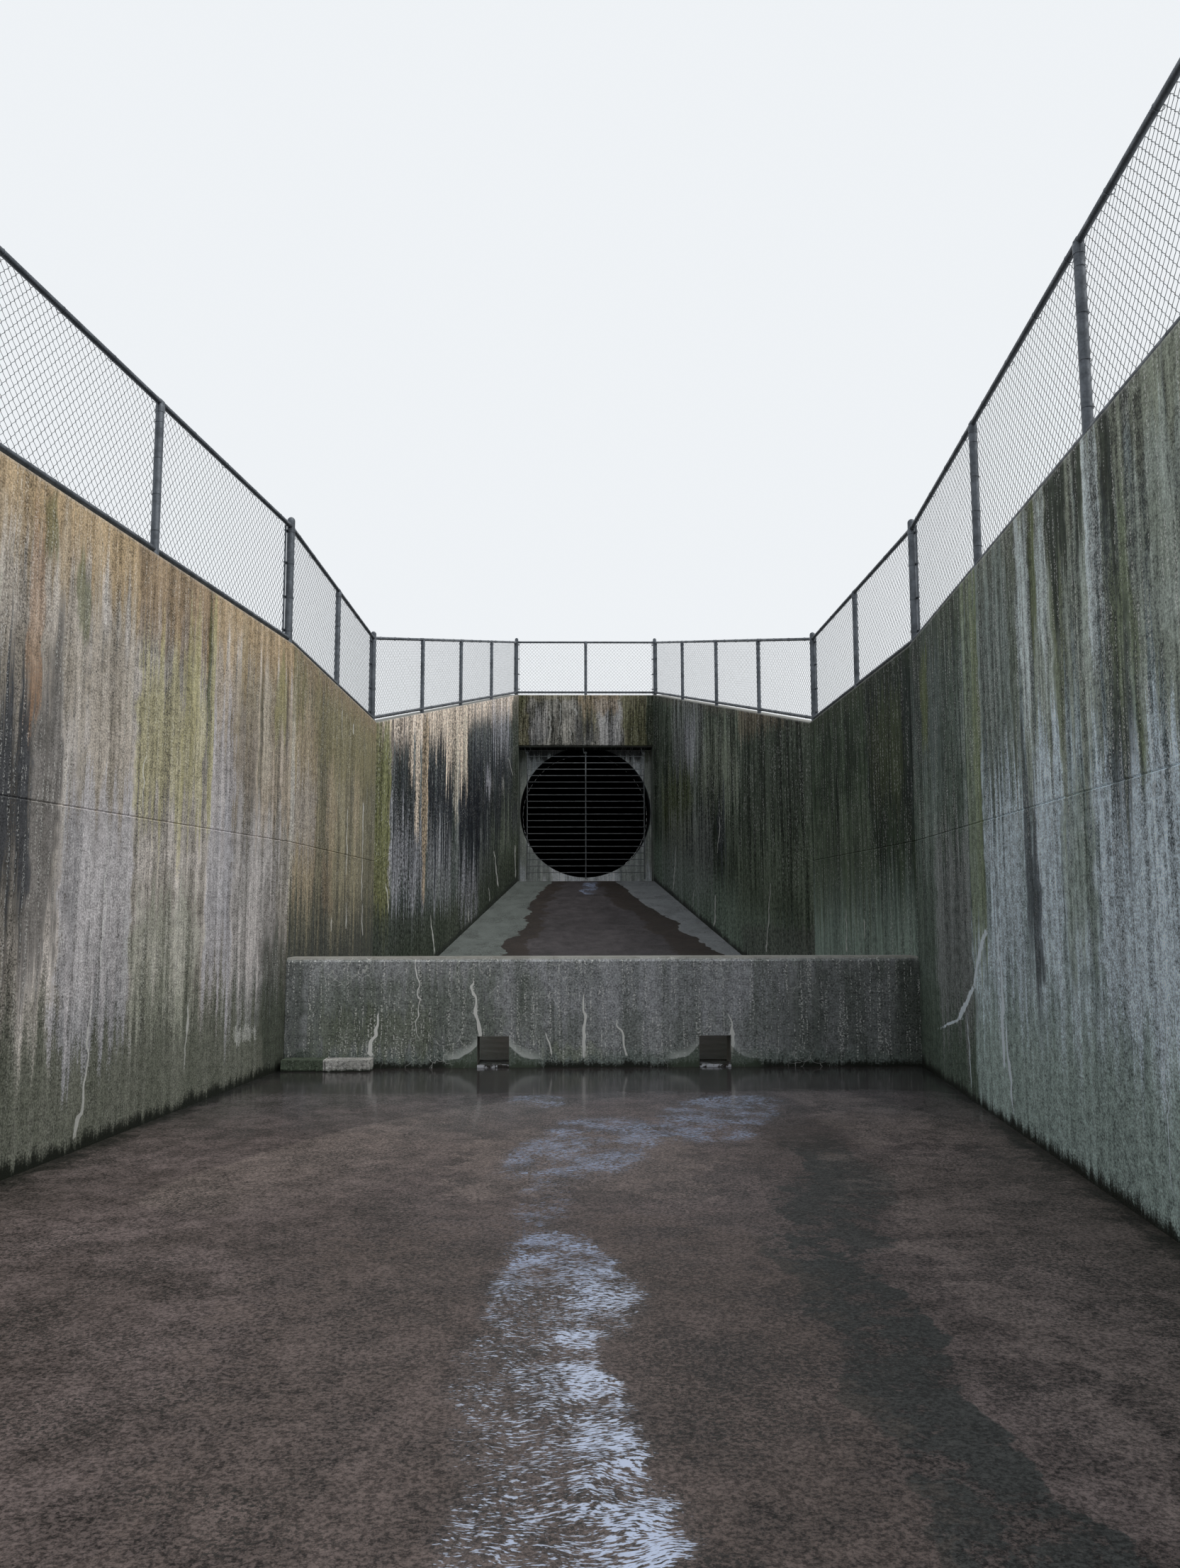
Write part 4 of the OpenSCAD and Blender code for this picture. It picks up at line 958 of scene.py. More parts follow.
def craze(material, size, strength):
    """Pale hairlines along the edges of bent cells."""
    tree, shader, point, colour = reopen(material)
    bend = add(tree, "ShaderNodeTexNoise", Vector=point, Scale=4.0, Detail=3.0)
    bent = on_vectors(tree, "MULTIPLY_ADD", bend.outputs["Color"], (0.35, 0.35, 0.35), point)
    cells = add(tree, "ShaderNodeTexVoronoi", {"feature": "DISTANCE_TO_EDGE"}, Vector=bent,
                Scale=1.0 / size)
    line = ramp(tree, cells.outputs["Distance"], 0.003, 0.015, strength, 0.0)
    line = calc(tree, "MULTIPLY", line, ramp(tree, noise(tree, point, 1.7, 4.0), 0.48, 0.62))
    feed(tree, shader.inputs["Base Color"], mix(tree, line, colour, TINTS["lime"]))


def wear_notches(material):
    """What the stream does at the two notches, and the shade in them. Inside the wall the notch is painted
    dark, for the shade that fills it. Beside each notch the face is worn below a curve, 0.075 plus 0.13
    times the cube of 1 - t / 0.3 for t metres from the notch, and the rim of that hollow is pale, more so
    on the left."""
    tree, shader, point, colour = reopen(material)
    wobble = add(tree, "ShaderNodeTexNoise", Vector=point, Scale=9.0, Detail=4.0)
    place = add(tree, "ShaderNodeSeparateXYZ", Vector=point).outputs
    beside = calc(tree, "ABSOLUTE", calc(tree, "SUBTRACT", calc(tree, "ABSOLUTE", place["X"]), NOTCH_X))
    gap = calc(tree, "SUBTRACT", beside, NOTCH_HALF)
    reach = calc(tree, "SUBTRACT", 1.0, calc(tree, "DIVIDE", gap, 0.3), clamp=True)
    curve = calc(tree, "MULTIPLY_ADD", calc(tree, "POWER", reach, 3.0), 0.13, FLOOR_Z + 0.075)
    above = around_one(tree, calc(tree, "SUBTRACT", place["Z"], curve), (wobble.outputs[0], 0.05))
    front = calc(tree, "MULTIPLY", ramp(tree, gap, -0.004, 0.002), ramp(tree, gap, 0.2, 0.34, 1.0, 0.0))
    outside = ramp(tree, place["Y"], WEIR_FRONT + 0.01, WEIR_FRONT + 0.02, 1.0, 0.0)
    front = calc(tree, "MULTIPLY", outside, front)
    rim = calc(tree, "MULTIPLY", ramp(tree, above, -0.008, 0.006), ramp(tree, above, 0.0, 0.1, 0.85, 0.0))
    faint = ramp(tree, place["X"], 0.6, 1.0, 0.0, 0.65)
    rim = calc(tree, "MULTIPLY", rim, calc(tree, "SUBTRACT", 1.0, faint))
    hollow = ramp(tree, above, -0.012, 0.0, 0.6, 0.0)
    # Painted shade inside the notch.
    deep = ramp(tree, place["Y"], WEIR_FRONT + 0.004, WEIR_FRONT + 0.03)
    inside = calc(tree, "MULTIPLY", ramp(tree, gap, -0.003, 0.001, 1.0, 0.0), deep)
    low = ramp(tree, place["Z"], FLOOR_Z + 0.282, FLOOR_Z + 0.29, 0.95, 0.0)
    inside = calc(tree, "MULTIPLY", inside, low)
    colour = mix(tree, calc(tree, "MULTIPLY", rim, front), colour, (0.62, 0.66, 0.64))
    colour = mix(tree, calc(tree, "MULTIPLY", hollow, front), colour, (0.1, 0.13, 0.095))
    feed(tree, shader.inputs["Base Color"], mix(tree, inside, colour, (0.016, 0.014, 0.012)))


craze(weir, 0.24, 0.45)
wear_notches(weir)
dress(weir, "weir_wall")
print("notches", 2 * NOTCH_HALF, "m wide, at", -NOTCH_X, NOTCH_X)

# %% Loose blocks
blocks = stained_wall(
    "concrete_block", (-HALF_W, KINK_Y, FLOOR_Z), (1.0, 0.0, 0.0), (0.0, 1.0, 0.0), LEVEL,
    body=((0.36, 0.36, 0.345), (0.56, 0.555, 0.54)), crown=((0.5, 0.5, 0.48), 0.01),
    base=((0.3, 0.31, 0.29), 0.03),
    marks=[("bottle", -0.1, 0.405, -0.1, 0.3, 0.004, 0.03, 0.8, 0.95, 0.0)],
    seed=127.0, levels=(0.0, -9.0, 0.12), look=(0.0, 0.0, 0.0, 0.5, 0.8), sand=60.0, tide=0.02, skin=1.0)
dress(blocks, "loose_blocks")

# %% [markdown]
# ## Wet floors
# A film of water slides over the channel floor, on brown silt that hides the concrete, and it shines where
# it ripples. A mirror is not what the eye sees there, but hundreds of small crests that each catch the sky:
# the coat of the finish is strong on the crests of a fine noise and absent between them, and the crests
# themselves carry a painted glint, a pale blue that stands for the sky they reflect.

# %% Group: ripples
def ripples_body(tree, given):
    """Wavelets: noise squeezed along the flow, so that the crests lie across it, and their tips, where a
    painted glint goes.
    """
    bend = add(tree, "ShaderNodeTexNoise", Vector=given["Point"], Scale=2.5, Detail=2.0)
    shift = on_vectors(tree, "MULTIPLY_ADD", bend.outputs[0], (0.1, 0.3, 0.0), given["Point"])
    squeezed = on_vectors(tree, "MULTIPLY", shift, (42.0, 150.0, 42.0))
    waves = noise(tree, squeezed, 1.0, 2.5, 0.55)
    return {"Height": waves, "Glints": ramp(tree, waves, 0.48, 0.6)}


ripples = make_group("ripples", {"Point": ZERO}, {"Height": float, "Glints": float}, ripples_body)


# %% Group: a bank of silt
def bank_body(tree, given):
    """A slanted oval: with (u, v) the offset from its middle, turned and divided by its two radii, the
    length of (u, v) is below one inside. The bank fades to one side."""
    x, y = (calc(tree, "SUBTRACT", given[way], given["Mid " + way]) for way in ("Across", "Down"))
    (x_cos, x_sin), (y_cos, y_sin) = (
        [calc(tree, "MULTIPLY", way, given[part]) for part in ("Cosine", "Sine")] for way in (x, y))
    u = calc(tree, "DIVIDE", calc(tree, "ADD", x_cos, y_sin), given["Long"])
    v = calc(tree, "DIVIDE", calc(tree, "SUBTRACT", y_cos, x_sin), given["Short"])
    size = calc(tree, "SQRT", calc(tree, "MULTIPLY_ADD", u, u, calc(tree, "MULTIPLY", v, v)))
    size = around_one(tree, size, (given["Noise"], 0.12))
    fade = ramp(tree, v, -0.6, 1.0, 1.0, 0.2)
    return {"Mask": calc(tree, "MULTIPLY", ramp(tree, size, 0.95, 1.0, 1.0, 0.0), fade)}


bank = make_group(
    "bank",
    {"Across": 0.0, "Down": 0.0, "Mid Across": 0.0, "Mid Down": 0.0, "Long": 1.0, "Short": 0.5,
     "Cosine": 1.0, "Sine": 0.0, "Noise": 0.5},
    {"Mask": float}, bank_body)


# %% Measure a floor
def measure_floor(tree, point):
    """Places and patterns of a floor, by name: across and down the stream, how far from the nearest wall, a
    slow cloud and a patchy one. The channel turns by TURN at the weir, so its walls drift to one side."""
    place = add(tree, "ShaderNodeSeparateXYZ", Vector=point).outputs
    stream = calc(tree, "SUBTRACT", KINK_Y, place["Y"])
    cloud = ramp(tree, noise(tree, point, 0.8, 4.0, 0.62), 0.34, 0.66)
    patchy = ramp(tree, noise(tree, point, 5.0, 5.0, 0.76), 0.38, 0.62)
    turned = calc(tree, "MULTIPLY", calc(tree, "MAXIMUM", stream, 0.0), math.tan(TURN))
    side = calc(tree, "SUBTRACT", HALF_W, calc(tree, "ABSOLUTE", calc(tree, "ADD", place["X"], turned)))
    return SimpleNamespace(
        across=place["X"], stream=stream, side=around_one(tree, side, (patchy, 0.1)), cloud=cloud,
        patchy=patchy, stray=calc(tree, "SUBTRACT", cloud, 0.5), fray=calc(tree, "SUBTRACT", patchy, 0.5))


# %% Silt, and the film of water
def paint_silt(tree, floor, colour, marks, banks):
    """Lays the floor's stains and then its ovals of silt over the colour."""
    for tint, left, far, low, high, side, end, fray, strength, lean in marks:
        mask = use(tree, stain, Run=floor.across, Height=floor.stream, Noise=floor.fray,
                   Wander=floor.stray, Left=left, Right=far, Low=low, High=high, Side=side, End=end,
                   Fray=fray, Stray=0.25, Lean=lean, Strength=strength)["Mask"]
        colour = mix(tree, mask, colour, tint)
    for tint, middle, size, angle, strength in banks:
        mask = use(tree, bank, Across=floor.across, Down=floor.stream, Mid_Across=middle[0],
                   Mid_Down=middle[1], Long=size[0], Short=size[1], Cosine=math.cos(angle),
                   Sine=math.sin(angle), Noise=floor.cloud)["Mask"]
        colour = mix(tree, calc(tree, "MULTIPLY", mask, strength), colour, tint)
    return colour


def film_of_water(tree, floor, point, film):
    """How wet each place shines, and so how strong the painted glint on its crests is: the strongest of the
    film's patches, thinned by a noise.
    """
    sheen = 0.0
    for left, far, low, high, side, end, strength, lean in film:
        mask = use(tree, stain, Run=floor.across, Height=floor.stream, Wander=floor.stray, Left=left,
                   Right=far, Low=low, High=high, Side=side, End=end, Fray=0.0, Stray=0.2, Lean=lean,
                   Strength=strength)["Mask"]
        sheen = calc(tree, "MAXIMUM", sheen, mask)
    return calc(tree, "MULTIPLY", sheen, ramp(tree, noise(tree, point, 3.5, 3.0), 0.35, 0.6, 0.55, 1.0))


# %% Wet floor
def wet_floor(name, tones, marks=(), film=(), edge_dark=0.0, contrast=0.8, banks=()):
    """A wet floor between two tones.
    marks: stains, as (colour, left, right, near, far, side, end, fray, strength, lean), across and down
    the stream in metres. film: shining patches, the same without colour and fray.
    banks: ovals of silt, as (colour, middle, two radii, angle, strength).
    edge_dark: how much darker the floor grows close to the walls. contrast: how much the sand shows."""
    material, tree, shader, point = new_material(
        name, Specular_IOR_Level=0.15, Coat_Roughness=0.12, Coat_IOR=2.2, Coat_Tint=(0.84, 0.89, 1.0))
    floor = measure_floor(tree, point)
    water = use(tree, ripples, Point=point)
    speck = use(tree, grain, Point=point, Scale=85.0, Spacing=0.05)
    colour = mix(tree, around_one(tree, 0.5, (floor.patchy, 0.3), (floor.cloud, 0.7)), *tones)
    colour = paint_silt(tree, floor, colour, marks, banks)
    rim = ramp(tree, floor.side, 0.02, 0.2, edge_dark, 0.0)
    margin = ramp(tree, floor.side, 0.1, 0.8, edge_dark * 0.45, 0.0)
    colour = mix(tree, rim, colour, (0.014, 0.015, 0.012))
    colour = mix(tree, margin, colour, (0.05, 0.045, 0.038))
    sand = around_one(tree, 1.0, (speck["Tone"], contrast), (floor.patchy, contrast * 0.4))
    colour = times(tree, colour, sand)
    clumps = ramp(tree, noise(tree, point, 2.2, 3.0), 0.48, 0.6)
    grit = ramp(tree, noise(tree, point, 60.0, 3.0, 0.75), 0.5, 0.6)
    grit = calc(tree, "MULTIPLY", grit, calc(tree, "MULTIPLY_ADD", clumps, 0.8, 0.15))
    colour = mix(tree, grit, colour, (0.03, 0.029, 0.027))
    colour = mix(tree, calc(tree, "MULTIPLY", speck["Pits"], 0.4), colour, (0.03, 0.03, 0.028))

    sheen = film_of_water(tree, floor, point, film)
    crests = calc(tree, "MULTIPLY_ADD", sheen, 0.34, calc(tree, "SUBTRACT", water["Height"], 0.34))
    crests = calc(tree, "MULTIPLY", ramp(tree, crests, 0.405, 0.5), ramp(tree, sheen, 0.0, 0.3))
    # pale: a painted glint, pale blue on the crests, strongest where the film shines most.
    pale = calc(tree, "MULTIPLY", crests, ramp(tree, sheen, 0.2, 1.0, 0.35, 0.9))
    feed(tree, shader.inputs["Base Color"], mix(tree, pale, colour, (0.68, 0.78, 1.0)))
    mirror = ramp(tree, around_one(tree, floor.stream, (floor.cloud, 0.8)), 1.0, 3.4, 0.8, 0.0)
    mirror = calc(tree, "MULTIPLY", mirror, edge_dark)
    coat = calc(tree, "MULTIPLY_ADD", crests, 0.9, calc(tree, "MULTIPLY", sheen, 0.1))
    feed(tree, shader.inputs["Coat Weight"], calc(tree, "MAXIMUM", coat, mirror))
    feed(tree, shader.inputs["Roughness"], ramp(tree, floor.patchy, 0.0, 1.0, 0.5, 0.62))
    rough = calc(tree, "MULTIPLY_ADD", speck["Height"], 0.25, water["Height"])
    rough = calc(tree, "MULTIPLY", rough, ramp(tree, floor.stream, 1.0, 3.4, 0.2, 1.0))
    bump(tree, shader, rough, 0.006, 0.5)
    print(f"{name}: {len(marks)} stains, {len(banks)} banks, {len(film)} patches of film")
    return material


# %% The channel's floor
SILT, DAMP, ALGAE = (0.09, 0.07, 0.06), (0.036, 0.028, 0.024), (0.044, 0.047, 0.046)
PALE_SILT, BANK_SILT = (0.21, 0.172, 0.157), (0.05, 0.04, 0.034)
channel_bed = wet_floor(
    "wet_channel_floor", ((0.092, 0.073, 0.068), (0.153, 0.123, 0.12)),
    marks=[
        (PALE_SILT, 0.0, 0.55, -0.3, 1.3, 0.06, 0.12, 0.5, 0.5, 0.15),
        # Darker silt before the weir: damp, with painted shade and a painted reflection of the weir.
        (DAMP, -3.2, 3.2, -0.4, 1.4, 0.3, 0.25, 0.5, 0.96, 0.0),
        (ALGAE, 0.5, 0.92, 5.5, 9.8, 0.03, 0.3, 1.4, 0.95, 0.0),
        (ALGAE, 0.62, 1.02, 3.2, 5.7, 0.04, 0.3, 1.4, 0.9, -0.2),
        (DAMP, 1.0, 1.6, 2.6, 3.6, 0.15, 0.2, 1.2, 0.6, 0.0),
        (PALE_SILT, 1.2, 2.7, 3.6, 8.6, 0.3, 0.5, 0.7, 0.34, 0.0),
        (PALE_SILT, 1.6, 2.2, 1.4, 3.4, 0.1, 0.3, 0.8, 0.4, 0.1),
        (PALE_SILT, -0.9, 0.6, 3.0, 4.6, 0.2, 0.3, 0.8, 0.4, 0.1),
        (SILT, -1.4, 0.5, 5.2, 9.0, 0.3, 0.5, 1.0, 0.4, 0.0),
    ],
    film=[
        (-0.2, 0.02, 6.0, 9.8, 0.14, 0.5, 1.0, 0.05), (-0.4, 0.02, 5.4, 9.8, 0.18, 0.5, 0.75, 0.05),
        (-0.62, -0.38, 6.2, 9.4, 0.14, 0.5, 0.6, 0.0), (-0.5, -0.05, 5.2, 6.5, 0.18, 0.4, 0.9, 0.1),
        (-0.65, -0.3, 4.0, 5.2, 0.22, 0.5, 0.7, -0.1), (-0.8, 0.15, 2.4, 4.3, 0.3, 0.6, 0.8, -0.15),
        (0.1, 0.9, 1.5, 3.4, 0.3, 0.5, 0.8, -0.25), (-0.85, -0.4, 1.5, 2.1, 0.15, 0.2, 0.75, 0.0),
    ],
    edge_dark=1.0, contrast=1.3,
    banks=[
        (PALE_SILT, (-1.3, 3.35), (1.85, 0.66), -1.02, 0.6), (PALE_SILT, (1.9, 2.4), (1.3, 0.3), 1.2, 0.4),
    ])

# %% The floors of the basin, the chute and the sill
basin_bed = wet_floor(
    "wet_basin_floor", ((0.05, 0.043, 0.036), (0.085, 0.07, 0.06)),
    film=[(-3.2, 3.2, -5.0, 0.3, 0.2, 0.2, 0.2, 0.0)], edge_dark=1.0)
chute = wet_floor(
    "wet_chute", ((0.075, 0.068, 0.072), (0.105, 0.095, 0.1)),
    marks=[
        (BANK_SILT, -2.2, -1.38, -13.5, -4.3, 0.1, 0.2, 0.9, 0.85, -0.1),
        (BANK_SILT, 2.0, 2.9, -13.5, -4.3, 0.1, 0.2, 0.9, 0.85, 0.2),
        ((0.19, 0.215, 0.205), -3.4, -1.83, -13.2, -4.2, 0.02, 0.2, 0.25, 0.97, -0.123),
        ((0.29, 0.305, 0.32), 2.77, 3.6, -13.2, -4.2, 0.02, 0.2, 0.25, 0.97, 0.229),
    ],
    film=[(-0.1, 0.25, -13.1, -11.9, 0.08, 0.2, 0.9, 0.0)], contrast=0.6)
sill = wet_floor(
    "wet_sill", ((0.13, 0.105, 0.12), (0.2, 0.17, 0.19)),
    film=[(-0.9, 0.9, -14.0, -12.9, 0.2, 0.1, 0.3, 0.0)])
dress(channel_bed, "channel_floor")
dress(basin_bed, "basin_floor")
dress(chute, "chute_slab")
dress(sill, "portal_sill")

# %% [markdown]
# ## Building thin pieces
# Wires, bands, bolts and caps are all one kind of shape: a small outline carried along a path. The
# outline stands square to the path at each of its points, and may grow or shrink on the way, which turns
# a straight path into a cap or a bead. Many paths of one kind are worked out in one go as one array.

# %% Make a piece
def mesh_piece(name, points, faces, material, body="structure"):
    """A piece of the object that moves with a body, from an array of points and a list of faces."""
    mesh = bpy.data.meshes.new(name)
    mesh.from_pydata(points.tolist(), [], faces)
    mesh.materials.append(material)
    thing = bpy.data.objects.new(name, mesh)
    bpy.context.scene.collection.objects.link(thing)
    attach(thing, body)
    return thing


def triangles_in(faces):
    """How many triangles the faces make."""
    return sum(len(face) - 2 for face in faces)


def join(parts):
    """Puts several (points, faces) together as one."""
    points, faces, base = [], [], 0
    for some, theirs in parts:
        points.append(some)
        faces += [[i + base for i in face] for face in theirs]
        base += len(some)
    return np.concatenate(points), faces


# %% Outlines, and the sweep
def round_outline(radius, sides):
    """Points of a circle, anticlockwise."""
    turns = np.linspace(0, 2 * math.pi, sides, endpoint=False)
    return np.stack([radius * np.cos(turns), radius * np.sin(turns)], -1)


def box_outline(width, depth):
    """The four corners of a flat bar's section."""
    return np.array([[-width, -depth], [width, -depth], [width, depth], [-width, depth]]) / 2


def sweep(paths, across, outline, grow=None, closed=False):
    """Carries an outline along each path. At each point the outline's first axis is the across direction
    less its part along the path, and its second axis is square to both. Returns points and faces."""
    paths = np.asarray(paths, float)
    count, length, sides = paths.shape[0], paths.shape[1], len(outline)
    ahead = np.roll(paths, -1, 1) - np.roll(paths, 1, 1) if closed else np.gradient(paths, axis=1)
    ahead /= np.linalg.norm(ahead, axis=-1, keepdims=True)
    first = np.broadcast_to(np.asarray(across, float).reshape(-1, 1, 3), paths.shape)
    first = first - (first * ahead).sum(-1, keepdims=True) * ahead
    first = first / np.linalg.norm(first, axis=-1, keepdims=True)
    second = np.cross(ahead, first)
    size = np.ones(length) if grow is None else np.asarray(grow, float)
    spread = outline[:, 0:1] * first[:, :, None] + outline[:, 1:2] * second[:, :, None]
    points = (paths[:, :, None] + size[None, :, None, None] * spread).reshape(-1, 3)
    rings = length if closed else length - 1
    row = np.arange(count)[:, None, None] * length
    ring = np.arange(rings)[None, :, None]
    start = (row + ring) * sides
    after = (row + (ring + 1) % length) * sides
    side = np.arange(sides)
    step = (side + 1) % sides
    quads = np.stack([start + side, start + step, after + step, after + side], -1).reshape(-1, 4)
    caps = []
    if not closed:
        base = np.arange(count)[:, None] * length * sides
        caps = (base + side[::-1]).tolist() + (base + (length - 1) * sides + side).tolist()
    return points, quads.tolist() + caps


# %% [markdown]
# ## The finish of the steel
# The fence is galvanised: zinc that has gone dull, with a spangle of large soft crystals, a darker bloom
# and a little rust where the coat is thin. The rack is the same steel without its zinc: it is brown in the
# hollows, and its top is painted paler for the light that falls on it.

# %% Steel finishes
def zinc(name, light, dark, rusty, metallic=0.75):
    """Dull zinc: crystal cells between two greys, bloom from noise, and rust where a slow noise peaks."""
    material, tree, shader, point = new_material(name, Specular_IOR_Level=0.5)
    cells = add(tree, "ShaderNodeTexVoronoi", Vector=point, Scale=95.0)
    spangle = add(tree, "ShaderNodeSeparateColor", Color=cells.outputs["Color"]).outputs[0]
    bloom = ramp(tree, noise(tree, point, 9.0, 5.0, 0.65), 0.35, 0.65)
    greys = calc(tree, "MULTIPLY_ADD", spangle, 0.4, calc(tree, "MULTIPLY", bloom, 0.6))
    colour = mix(tree, greys, light, dark)
    spots = ramp(tree, noise(tree, point, 30.0, 6.0, 0.7), 0.7 - rusty, 0.8 - rusty)
    colour = mix(tree, spots, colour, (0.13, 0.07, 0.04))
    feed(tree, shader.inputs["Base Color"], colour)
    bare_metal = calc(tree, "MULTIPLY_ADD", spots, -metallic, metallic, clamp=True)
    feed(tree, shader.inputs["Metallic"], bare_metal)
    rough = calc(tree, "MULTIPLY_ADD", spots, 0.25, 0.42)
    feed(tree, shader.inputs["Roughness"], calc(tree, "MULTIPLY_ADD", bloom, 0.2, rough))
    bump(tree, shader, noise(tree, point, 160.0, 3.0), 0.0006, 0.5)
    return material


def painted_light_above(material, low, high, amount):
    """Makes a steel finish lighter between two heights, up to amount times: painted light on the rack's
    top.
    """
    tree, shader, point, colour = reopen(material)
    height = add(tree, "ShaderNodeSeparateXYZ", Vector=point).outputs["Z"]
    feed(tree, shader.inputs["Base Color"], times(tree, colour, ramp(tree, height, low, high, 1.0, amount)))


# %% Put the steel finishes on
fence_zinc = zinc("dull_zinc", (0.125, 0.139, 0.158), (0.066, 0.075, 0.086), 0.02)
wire_zinc = zinc("wire_zinc", (0.2, 0.22, 0.235), (0.11, 0.12, 0.125), 0.12)
rack_steel = zinc("rack_steel", (0.185, 0.2, 0.215), (0.1, 0.108, 0.112), 0.08, 0.15)
tubes = [n for n in nodes if n.startswith(("fence_posts", "rails_"))]
dress(fence_zinc, *tubes)
# Painted light on the upper rods of the rack.
painted_light_above(rack_steel, 4.4, 4.75, 2.4)
dress(rack_steel, "trash_rack", "rack_hangers")
print(len(tubes), "nodes of posts and rails in zinc")

# %% [markdown]
# ## The fence's layout
# The fence stands close to the walls' inner edges. Each run goes from one corner post to the next, and
# its points follow from the walls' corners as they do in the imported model.

# %% Where the fence runs
SET_BACK, POST_R, CORNER_R, RAIL_R, TOP_RAIL, LOW_RAIL = 0.065, 0.03, 0.0365, 0.021, 1.149, 0.065
CHANNEL_RUN, END_GAP = 9.4, 0.06
UP = np.array([0.0, 0.0, 1.0])


def right_of(v):
    """The direction a quarter turn to the right of v."""
    return np.array([v[1], -v[0]])


def mitre(a, b):
    """Where a line offset by one turns the corner between directions a and b."""
    return (right_of(a) + right_of(b)) / (1 + right_of(a) @ right_of(b))


flip = np.array([-1.0, 1.0])
straight, down_way, wing_way = np.array([0.0, 1.0]), np.array(down[:2]), np.array([-wing[0], wing[1]])
kink = np.array([HALF_W, KINK_Y])
wing_side = right_of(wing_way)
head_out = wing_side[0] * SET_BACK + wing_way[0] / wing_way[1] * (SET_BACK - wing_side[1] * SET_BACK)
post_kink = kink + SET_BACK * mitre(-down_way, straight)
post_kink_left = kink * flip - SET_BACK * mitre(-down_way, straight)
post_end = kink + CHANNEL_RUN * down_way + SET_BACK * right_of(-down_way) - END_GAP * down_way
post_end_left = kink * flip + CHANNEL_RUN * down_way - SET_BACK * right_of(-down_way) - END_GAP * down_way
post_wing = np.array([HALF_W, CORNER_Y]) + SET_BACK * mitre(straight, wing_way)
post_head = np.array([PORTAL_HALF + head_out, HEAD_Y + SET_BACK])
LOW_TOP, HIGH_TOP = FLOOR_Z + 3.9, FLOOR_Z + 5.92

# %% The seven runs
FENCE = {  # name: start, end, their heights, the hand that the wire hangs on, line posts along it
    "channel_left": (post_kink_left, post_end_left, LOW_TOP, LOW_TOP, 1, (0.287, 0.525, 0.76)),
    "channel_right": (post_kink, post_end, LOW_TOP, LOW_TOP, -1, (0.255, 0.507, 0.755)),
    "basin_left": (post_kink_left, post_wing * flip, LOW_TOP, LOW_TOP, -1, (0.49,)),
    "basin_right": (post_kink, post_wing, LOW_TOP, LOW_TOP, 1, (0.49,)),
    "wing_left": (post_wing * flip, post_head * flip, LOW_TOP, HIGH_TOP, -1, (0.25, 0.5, 0.75)),
    "wing_right": (post_wing, post_head, LOW_TOP, HIGH_TOP, 1, (0.25, 0.5, 0.75)),
    "head": (post_head * flip, post_head, HIGH_TOP, HIGH_TOP, -1, (0.5,)),
}


def run_frame(name):
    """What the fence needs of a run, by name: its start, the level direction ahead, the side that its wire
    hangs on, its length, how far along its line posts are, its climb for each metre, and its rails' way."""
    a, b, low, high, hand, shares = FENCE[name]
    length = float(np.linalg.norm(b - a))
    along, climb = (b - a) / length, (high - low) / length
    ahead = np.array([*along, 0.0])
    aside = np.array([*(right_of(along) * hand), 0.0])
    return SimpleNamespace(
        start=np.array([*a, low]), ahead=ahead, aside=aside, length=length, posts=np.array(shares) * length,
        climb=climb, rail_way=(ahead + climb * UP) / math.hypot(1, climb))


def on_run(name, along, outward, up):
    """Points at distances along, outward and up from a run's start, each a number or an array."""
    run = run_frame(name)
    along, outward, up = (v[..., None] for v in np.broadcast_arrays(along, outward, up))
    return run.start + along * run.ahead + outward * run.aside + (up + run.climb * along) * UP


print({name: round(run_frame(name).length, 2) for name in FENCE})

# %% [markdown]
# ## Woven wire
# Chain-link fabric is a row of flat spirals. Each wire zigzags between two upright lines, goes up in
# front and comes back behind, and hooks into its neighbour at every bend. The mesh is the common one of
# 50 mm, so a diamond is 72 mm wide and 75 mm high. One wire is a path with two points for each straight
# part; 1,300 of them make the fence, so each wire has only three sides.

# %% Weave the fabric
WIRE_R, DIAMOND_W, DIAMOND_H, FABRIC_LOW, FABRIC_HIGH = 0.0019, 0.0718, 0.0746, 0.03, 1.166


def woven_panel(name):
    """Wire i has its bends on the upright lines i and i + 1. At level j it is on the left one where i + j
    is even. Its straight parts lie WIRE_R in front and WIRE_R behind by turns, so crossing wires touch."""
    run = run_frame(name)
    gap = CORNER_R + 0.008
    clear = run.length - 2 * gap
    wires = round(clear / (DIAMOND_W / 2))
    levels = round((FABRIC_HIGH - FABRIC_LOW) / (DIAMOND_H / 2))
    pitch, rise = clear / wires, (FABRIC_HIGH - FABRIC_LOW) / levels
    wire = np.arange(wires)[:, None, None]
    part = np.arange(levels)[None, :, None]
    end = np.array([0, 1])[None, None, :]
    on_right = (wire + part + end) % 2
    along = gap + pitch * (wire + on_right) + 0.0015 * (2 * on_right - 1)
    up = FABRIC_LOW + rise * (part + end) + 0.003 * (1 - 2 * end)
    outward = POST_R + 0.002 + np.where((wire + part) % 2 == 0, WIRE_R, -WIRE_R)
    along, up, outward = (v.reshape(wires, -1) for v in np.broadcast_arrays(along, up, outward))
    points, faces = sweep(on_run(name, along, outward, up), run.aside, round_outline(WIRE_R, 3))
    piece = mesh_piece("wire_" + name, points, faces, wire_zinc)
    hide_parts("fabric_" + name)
    return wires, triangles_in(faces)


for name in FENCE:
    wires, triangles = woven_panel(name)
    print(name, wires, "wires,", triangles, "triangles")

# %% [markdown]
# ## Fence fittings
# At a corner post the fabric ends on a flat tension bar, which four bands hold to the post, each with a
# bolt. The top rail runs through a loop cap on each line post, and ends in a cup on the corner post. Thin
# ties hold the fabric to the posts and the rails.

